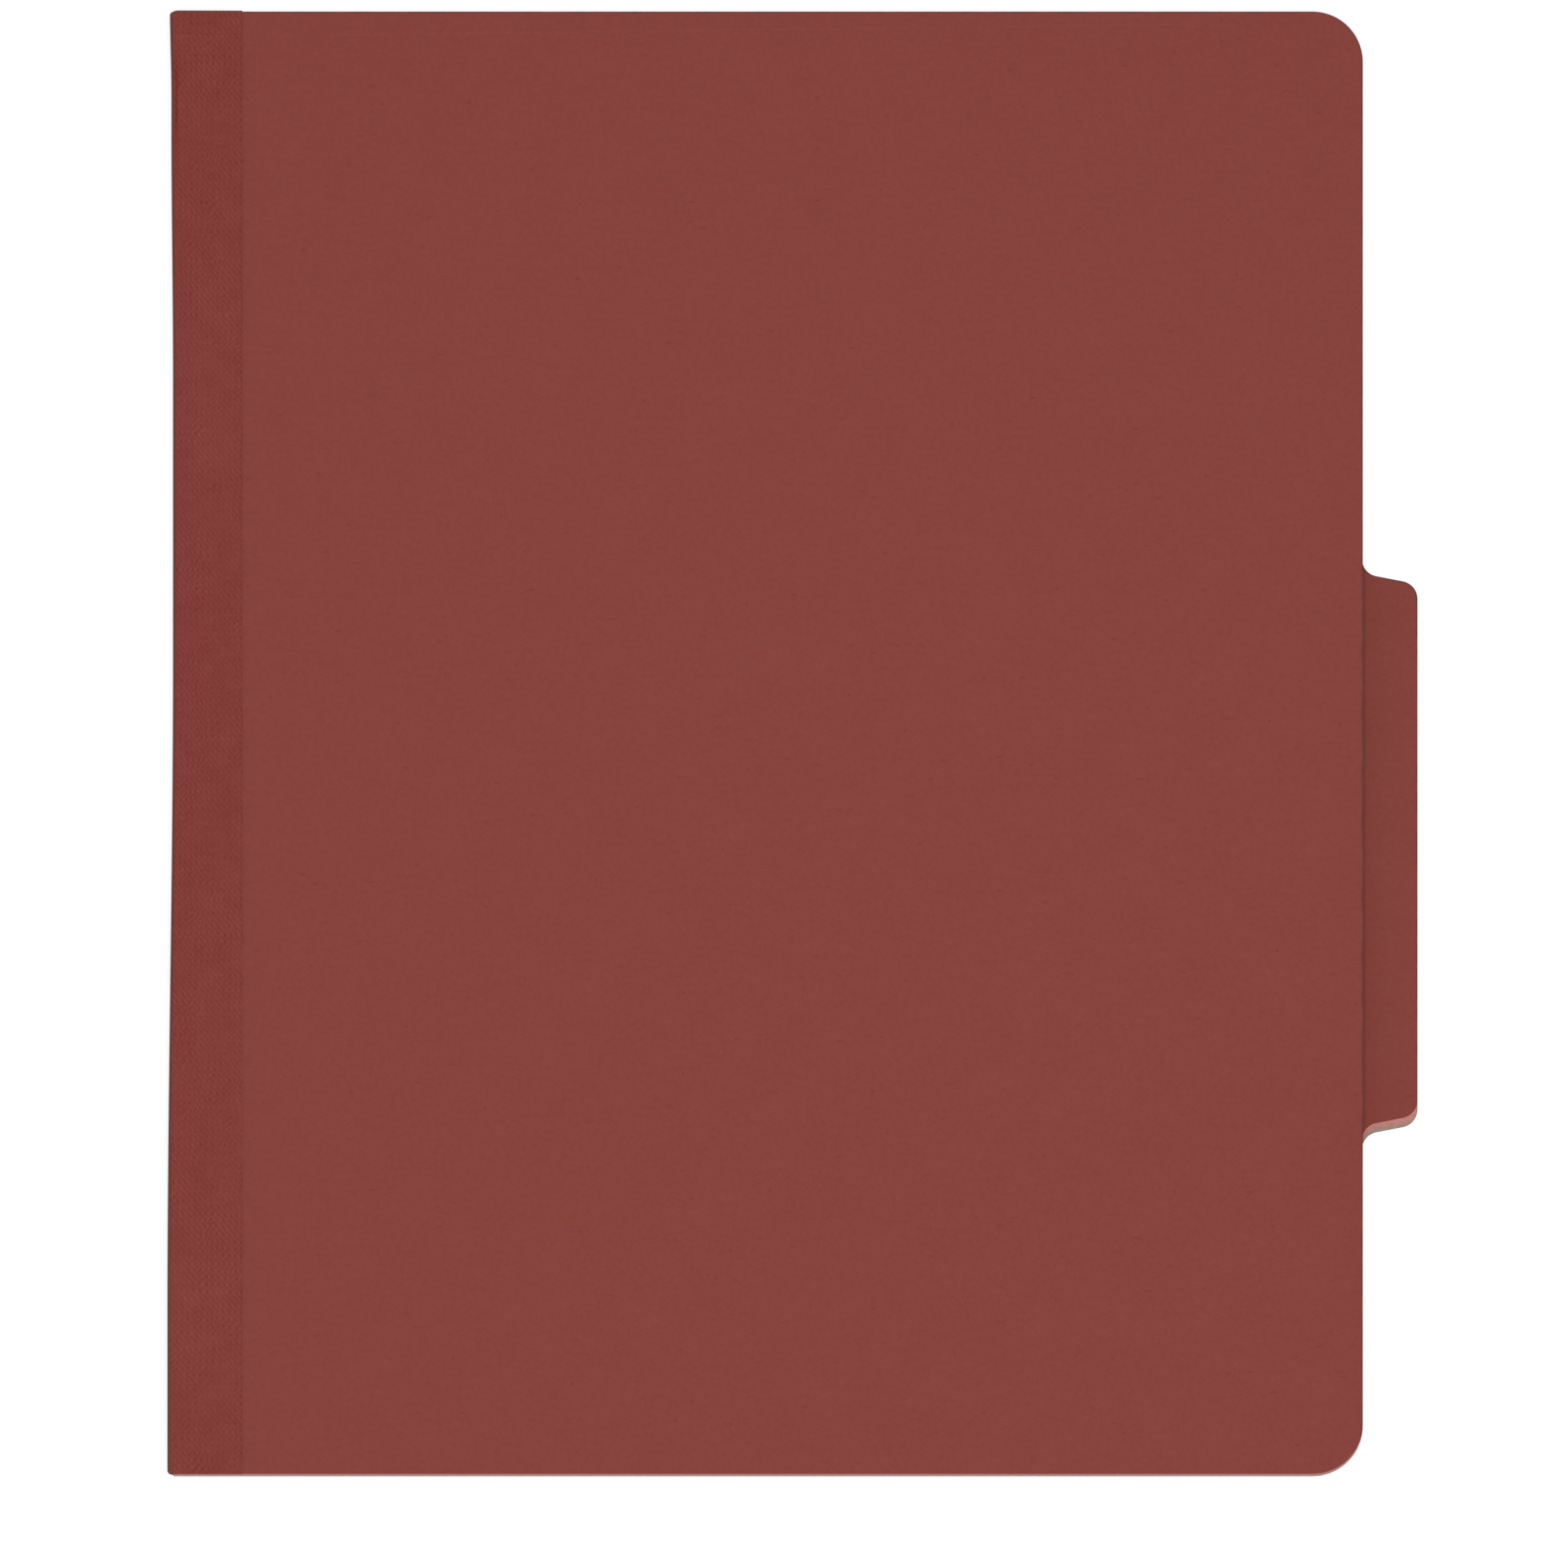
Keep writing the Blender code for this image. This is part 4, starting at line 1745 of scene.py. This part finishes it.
    def base(self) -> Piece:
        """Makes the strip that carries the prongs, with round ends and a bend at each prong's root.

        Returns:
            The strip on its body.
        """
        node = self.name + "_fastener_base"
        low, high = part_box(node)
        near = self.heights(node)[0]
        far = near + self.base_wall * self.facing.value
        round_end = (high.y - low.y) / 2 - self.end_flat
        outline = round_corners(rectangle(low, high), (round_end,) * 4, self.arc_steps)
        piece = self.plain_plate(node + "_strip", self.strip_loops(outline, near, far))
        bm = bmesh.new()
        bm.from_mesh(piece.data)
        for side in Side:
            self.knuckle(bm, side, far - self.knuckle_sink * self.facing.value)
        bmesh.ops.recalc_face_normals(bm, faces=bm.faces[:])
        bm.to_mesh(piece.data)
        bm.free()
        return dress(piece, self.body, node, Slot.STEEL)

    def build(self) -> list[Piece]:
        """Makes the strip and its prongs."""
        return [self.base(), *map(self.prong, Side)]


@dataclass
class CoverFastener(PaperFastener):
    """A cover's fastener, with a paper patch over its strip, a compressor bar and two sliding locks.

    Attributes:
        paper: The patch's material.
        patch_corner: The patch's corner radius.
        patch_slope: How far beside the strip the patch comes down to the cover.
        patch_spans: How many faces the patch has across, between its corners.
        bar_corner: The bar's corner radius.
        corner_steps: How many pieces the patch's and the bar's arcs have.
        slot_length: The length along the bar of the slot that a prong comes up through.
        slot_width: The slot's width across the bar.
        slot_corner: The slot's corner radius.
        slot_steps: How many pieces its arcs have.
        lock_wall: The thickness of a lock's steel.
        lock_bend: The outside radius of a lock's bends.
        lock_steps: How many pieces those bends have.
    """

    paper: Material | None = None
    patch_corner: float = 3.0 * MM
    patch_slope: float = 1.8 * MM
    patch_spans: int = 60
    bar_corner: float = 2.4 * MM
    corner_steps: int = 10
    slot_length: float = 1.2 * MM
    slot_width: float = 7.1 * MM
    slot_corner: float = 0.4 * MM
    slot_steps: int = 5
    lock_wall: float = 0.30 * MM
    lock_bend: float = 0.50 * MM
    lock_steps: int = 8

    def patch_rows(self, width: float) -> list[Span]:
        """The patch's rows.

        Args:
            width: The patch's width.

        Returns:
            Each row's distance from one long edge, and how far the corners cut into it.
        """
        radius, spans = self.patch_corner, self.patch_spans
        turns = [pi / 2 * step / self.corner_steps for step in range(self.corner_steps + 1)]
        corner = [(radius * (1.0 - cos(turn)), radius * (1.0 - sin(turn))) for turn in turns]
        middle = [(radius + (width - 2 * radius) * step / spans, 0.0) for step in range(1, spans)]
        return corner + middle + [(width - across, cut) for across, cut in reversed(corner)]

    def patch(self) -> Piece:
        """Makes the paper patch, which lies on the cover and rises over the strip.

        Returns:
            The patch on its body.
        """
        node = self.name + "_fastener_patch"
        strip = self.name + "_fastener_base"
        low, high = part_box(node)
        near, far = self.heights(node)
        strip_low, strip_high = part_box(strip)
        drop = self.heights(strip)[0] - near
        bm = bmesh.new()
        rows = []
        for across, cut in self.patch_rows(high.y - low.y):
            y = low.y + across
            beside = max(strip_low.y - y, y - strip_high.y, 0.0)
            shift = drop * smoothstep((0.0, self.patch_slope), beside)
            left, right = low.x + cut, high.x - cut
            corners = ((left, near), (right, near), (right, far), (left, far))
            rows.append([bm.verts.new((x, y, height + shift)) for x, height in corners])
        bridge(bm, rows)
        cap(bm, rows)
        return dress(link_mesh(node + "_paper", bm, [self.paper]), self.body, node, Slot.PAPER)

    def bar(self) -> Piece:
        """Makes the compressor bar, with round corners and a slot for each prong.

        Returns:
            The bar on its body.
        """
        node = self.name + "_compressor_bar"
        low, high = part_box(node)
        near, far = self.heights(node)
        outline = round_corners(rectangle(low, high), (self.bar_corner,) * 4, self.corner_steps)
        half = Vector((self.slot_length, self.slot_width)) / 2
        holes = []
        for side in Side:
            centre = Vector((self.root(side), (low.y + high.y) / 2))
            corners = rectangle(centre - half, centre + half)
            slot = round_corners(corners, (self.slot_corner,) * 4, self.slot_steps)
            holes.append(self.strip_loops(slot, near, far, hole=True))
        piece = pierced_plate(node + "_strip", self.strip_loops(outline, near, far), holes, self.steel)
        return dress(piece, self.body, node, Slot.STEEL)

    def lock(self, side: Side) -> Piece:
        """Makes one lock, a flat sleeve bent from strip, which slides along the bar.

        Args:
            side: Which of the two it is.

        Returns:
            The lock on its body.
        """
        node = f"{self.name}_lock_{side.value}"
        low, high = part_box(node)
        corners = rectangle(Vector((low.y, low.z)), Vector((high.y, high.z)))
        outside = round_corners(corners, (self.lock_bend,) * 4, self.lock_steps)
        wall, edge = self.lock_wall, self.edge
        path = [(wall, low.x + edge), (wall - edge, low.x), (edge, low.x), (0.0, low.x + edge)]
        path += [(0.0, high.x - edge), (edge, high.x), (wall - edge, high.x), (wall, high.x - edge)]
        bm = bmesh.new()
        rings = []
        for depth, x in path:
            rings.append([bm.verts.new((x, point.x, point.y)) for point in inset(outside, depth)])
        bridge(bm, rings + rings[:1])
        return dress(link_mesh(node + "_sleeve", bm, [self.steel]), node, node, Slot.STEEL)

    def build(self) -> list[Piece]:
        """Makes the strip, its prongs, the patch, the bar and the locks."""
        return super().build() + [self.patch(), self.bar(), *map(self.lock, Side)]


@dataclass(frozen=True)
class Lamp:
    """A square light.

    Attributes:
        name: Its name.
        place: Where it hangs.
        power: Its power in watts.
        size: Its side.
    """

    name: str
    place: Place
    power: float
    size: float


@dataclass(frozen=True)
class Studio:
    """A white floor under soft light, and a camera that looks straight down.

    Attributes:
        front_z: The height of the front cover.
        view_x: Where the picture's middle is along x.
        view_y: Where the picture's middle is along y.
        view_width: How much the picture takes in, at the front cover.
        lens: The camera's focal length in millimetres.
        sensor: The camera's sensor width in millimetres.
        clip_end: How far the camera sees.
        sky: The world's light on the object.
        lamps: The main light above the folder, and a second one in front of it.
        floor_size: The floor's side.
        floor_z: The floor's height, a little under the folder.
        floor_tone: The floor's colour for the light that it throws back.
        shadow_tone: The share of the floor's white that the folder's shadow can take away in the picture.
        floor_lift: The light that the floor gives off in the picture, which makes it white.
    """

    front_z: float
    view_x: float = -2.04 * MM
    view_y: float = -8.16 * MM
    view_width: float = 319.45 * MM
    lens: float = 1000.0
    sensor: float = 36.0
    clip_end: float = 50.0
    sky: float = 0.24
    lamps: tuple[Lamp, ...] = (
        Lamp("key_light", (0.12, 0.05, 3.6), 80.0, 0.6),
        Lamp("fill_light", (0.0, -2.3, 2.0), 16.0, 1.2),
    )
    floor_size: float = 14.0
    floor_z: float = -0.2 * MM
    floor_tone: float = 0.80
    shadow_tone: float = 0.26
    floor_lift: float = 0.84

    @property
    def view_centre(self) -> Vector:
        """What the picture's middle looks at."""
        return Vector((self.view_x, self.view_y, self.front_z))

    def floor(self) -> None:
        """Makes the white floor, which keeps the folder's shadow."""
        bm = bmesh.new()
        half = self.floor_size / 2
        corners = rectangle(Vector((-half, -half)), Vector((half, half)))
        bm.faces.new(Loop(corners, self.floor_z).ring(bm))
        wiring = Wiring(bpy.data.materials.new("studio_floor"))
        wiring.tree.nodes.remove(wiring.tree.nodes["Principled BSDF"])
        card = wiring.node("BsdfDiffuse")
        shadow = wiring.node("BsdfDiffuse")
        for shader, tone in ((card, self.floor_tone), (shadow, self.shadow_tone)):
            wiring.feed(shader.inputs["Color"], (tone, tone, tone))
        glow = wiring.node("Emission")
        glow.inputs["Strength"].default_value = self.floor_lift
        white = wiring.node("AddShader")
        wiring.feed(white.inputs[0], shadow.outputs["BSDF"])
        wiring.feed(white.inputs[1], glow.outputs["Emission"])
        wiring.choose(card.outputs["BSDF"], white.outputs["Shader"], "Material Output")
        link_mesh("floor", bm, [wiring.owner])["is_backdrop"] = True

    def world(self) -> None:
        """Makes the even white surround."""
        world = bpy.data.worlds.new("surround")
        wiring = Wiring(world)
        soft = wiring.tree.nodes["Background"]
        white = wiring.node("Background")
        for shader, strength in ((soft, self.sky), (white, 1.0)):
            wiring.feed(shader.inputs["Color"], (1.0, 1.0, 1.0))
            wiring.feed(shader.inputs["Strength"], strength)
        wiring.choose(soft.outputs["Background"], white.outputs["Background"], "World Output")
        bpy.context.scene.world = world

    def light(self, lamp: Lamp) -> None:
        """Hangs a light, turned to the folder.

        Args:
            lamp: The light.
        """
        data = bpy.data.lights.new(lamp.name, "AREA")
        data.energy = lamp.power
        data.size = lamp.size
        light = bpy.data.objects.new(lamp.name, data)
        light.location = lamp.place
        light.rotation_euler = (self.view_centre - light.location).to_track_quat("-Z", "Y").to_euler()
        light.visible_camera = False
        bpy.context.scene.collection.objects.link(light)

    def camera(self) -> None:
        """Puts the camera straight above the front cover, with the top edge up."""
        data = bpy.data.cameras.new("camera")
        data.lens = self.lens
        data.sensor_width = self.sensor
        data.clip_end = self.clip_end
        camera = bpy.data.objects.new("camera", data)
        camera.location = self.view_centre + Vector((0.0, 0.0, self.view_width * self.lens / self.sensor))
        bpy.context.scene.collection.objects.link(camera)
        bpy.context.scene.camera = camera

    def build(self) -> None:
        """Sets up the floor, the surround, the lights and the camera."""
        bpy.context.scene.view_settings.view_transform = "Standard"
        self.floor()
        self.world()
        for lamp in self.lamps:
            self.light(lamp)
        self.camera()


def main() -> None:
    """Loads the frame and builds the folder's looks in order."""
    logging.basicConfig(level=logging.INFO, format="%(message)s")
    for leftover in list(bpy.data.objects):
        bpy.data.objects.remove(leftover)
    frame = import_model()
    cad_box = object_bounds()
    fore_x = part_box("front_cover")[1].x
    steel = SteelFinish().build("tinned_steel")
    paper = PaperFinish().build("patch_paper")
    kraft = KraftFinish().all("divider_board")
    pale_line = PaleLine()
    spine = SpineCloth(frame, ClothFinish(), ClothFinish(pale_line=pale_line))
    # The front's lower cut edge is painted pale at its low side and darker at its high side: painted light
    # over its own colour.
    front_finish = PressboardFinish(
        lit_cut_low=(0.454, 0.316, 0.300), lit_cut_high=(0.385, 0.177, 0.154), pale_line=pale_line
    )
    pieces = [
        CoverBoard("front_cover", front_finish, fore_x).build(),
        TabbedBoard("back_cover", PressboardFinish(), fore_x).build(),
        *spine.build(),
    ]
    hinge_cloth = ClothFinish().build("hinge_cloth")
    for name, panel, facing in (
        ("divider_1", "gusset_front", Facing.UP),
        ("divider_2", "gusset_back", Facing.DOWN),
    ):
        pieces += Divider(frame, spine, name, panel, facing, hinge_cloth, kraft).build()
        pieces += PaperFastener(name + "_front", name, Facing.UP, steel).build()
        pieces += PaperFastener(name + "_back", name, Facing.DOWN, steel).build()
    for name, facing in (("front_cover", Facing.DOWN), ("back_cover", Facing.UP)):
        pieces += CoverFastener(name, name, facing, steel, paper=paper).build()
    for piece in pieces:
        LOG.info("built %s, %d points", piece.name, len(piece.data.vertices))
    Studio(cad_box[1][2]).build()


if __name__ == "__main__":
    main()
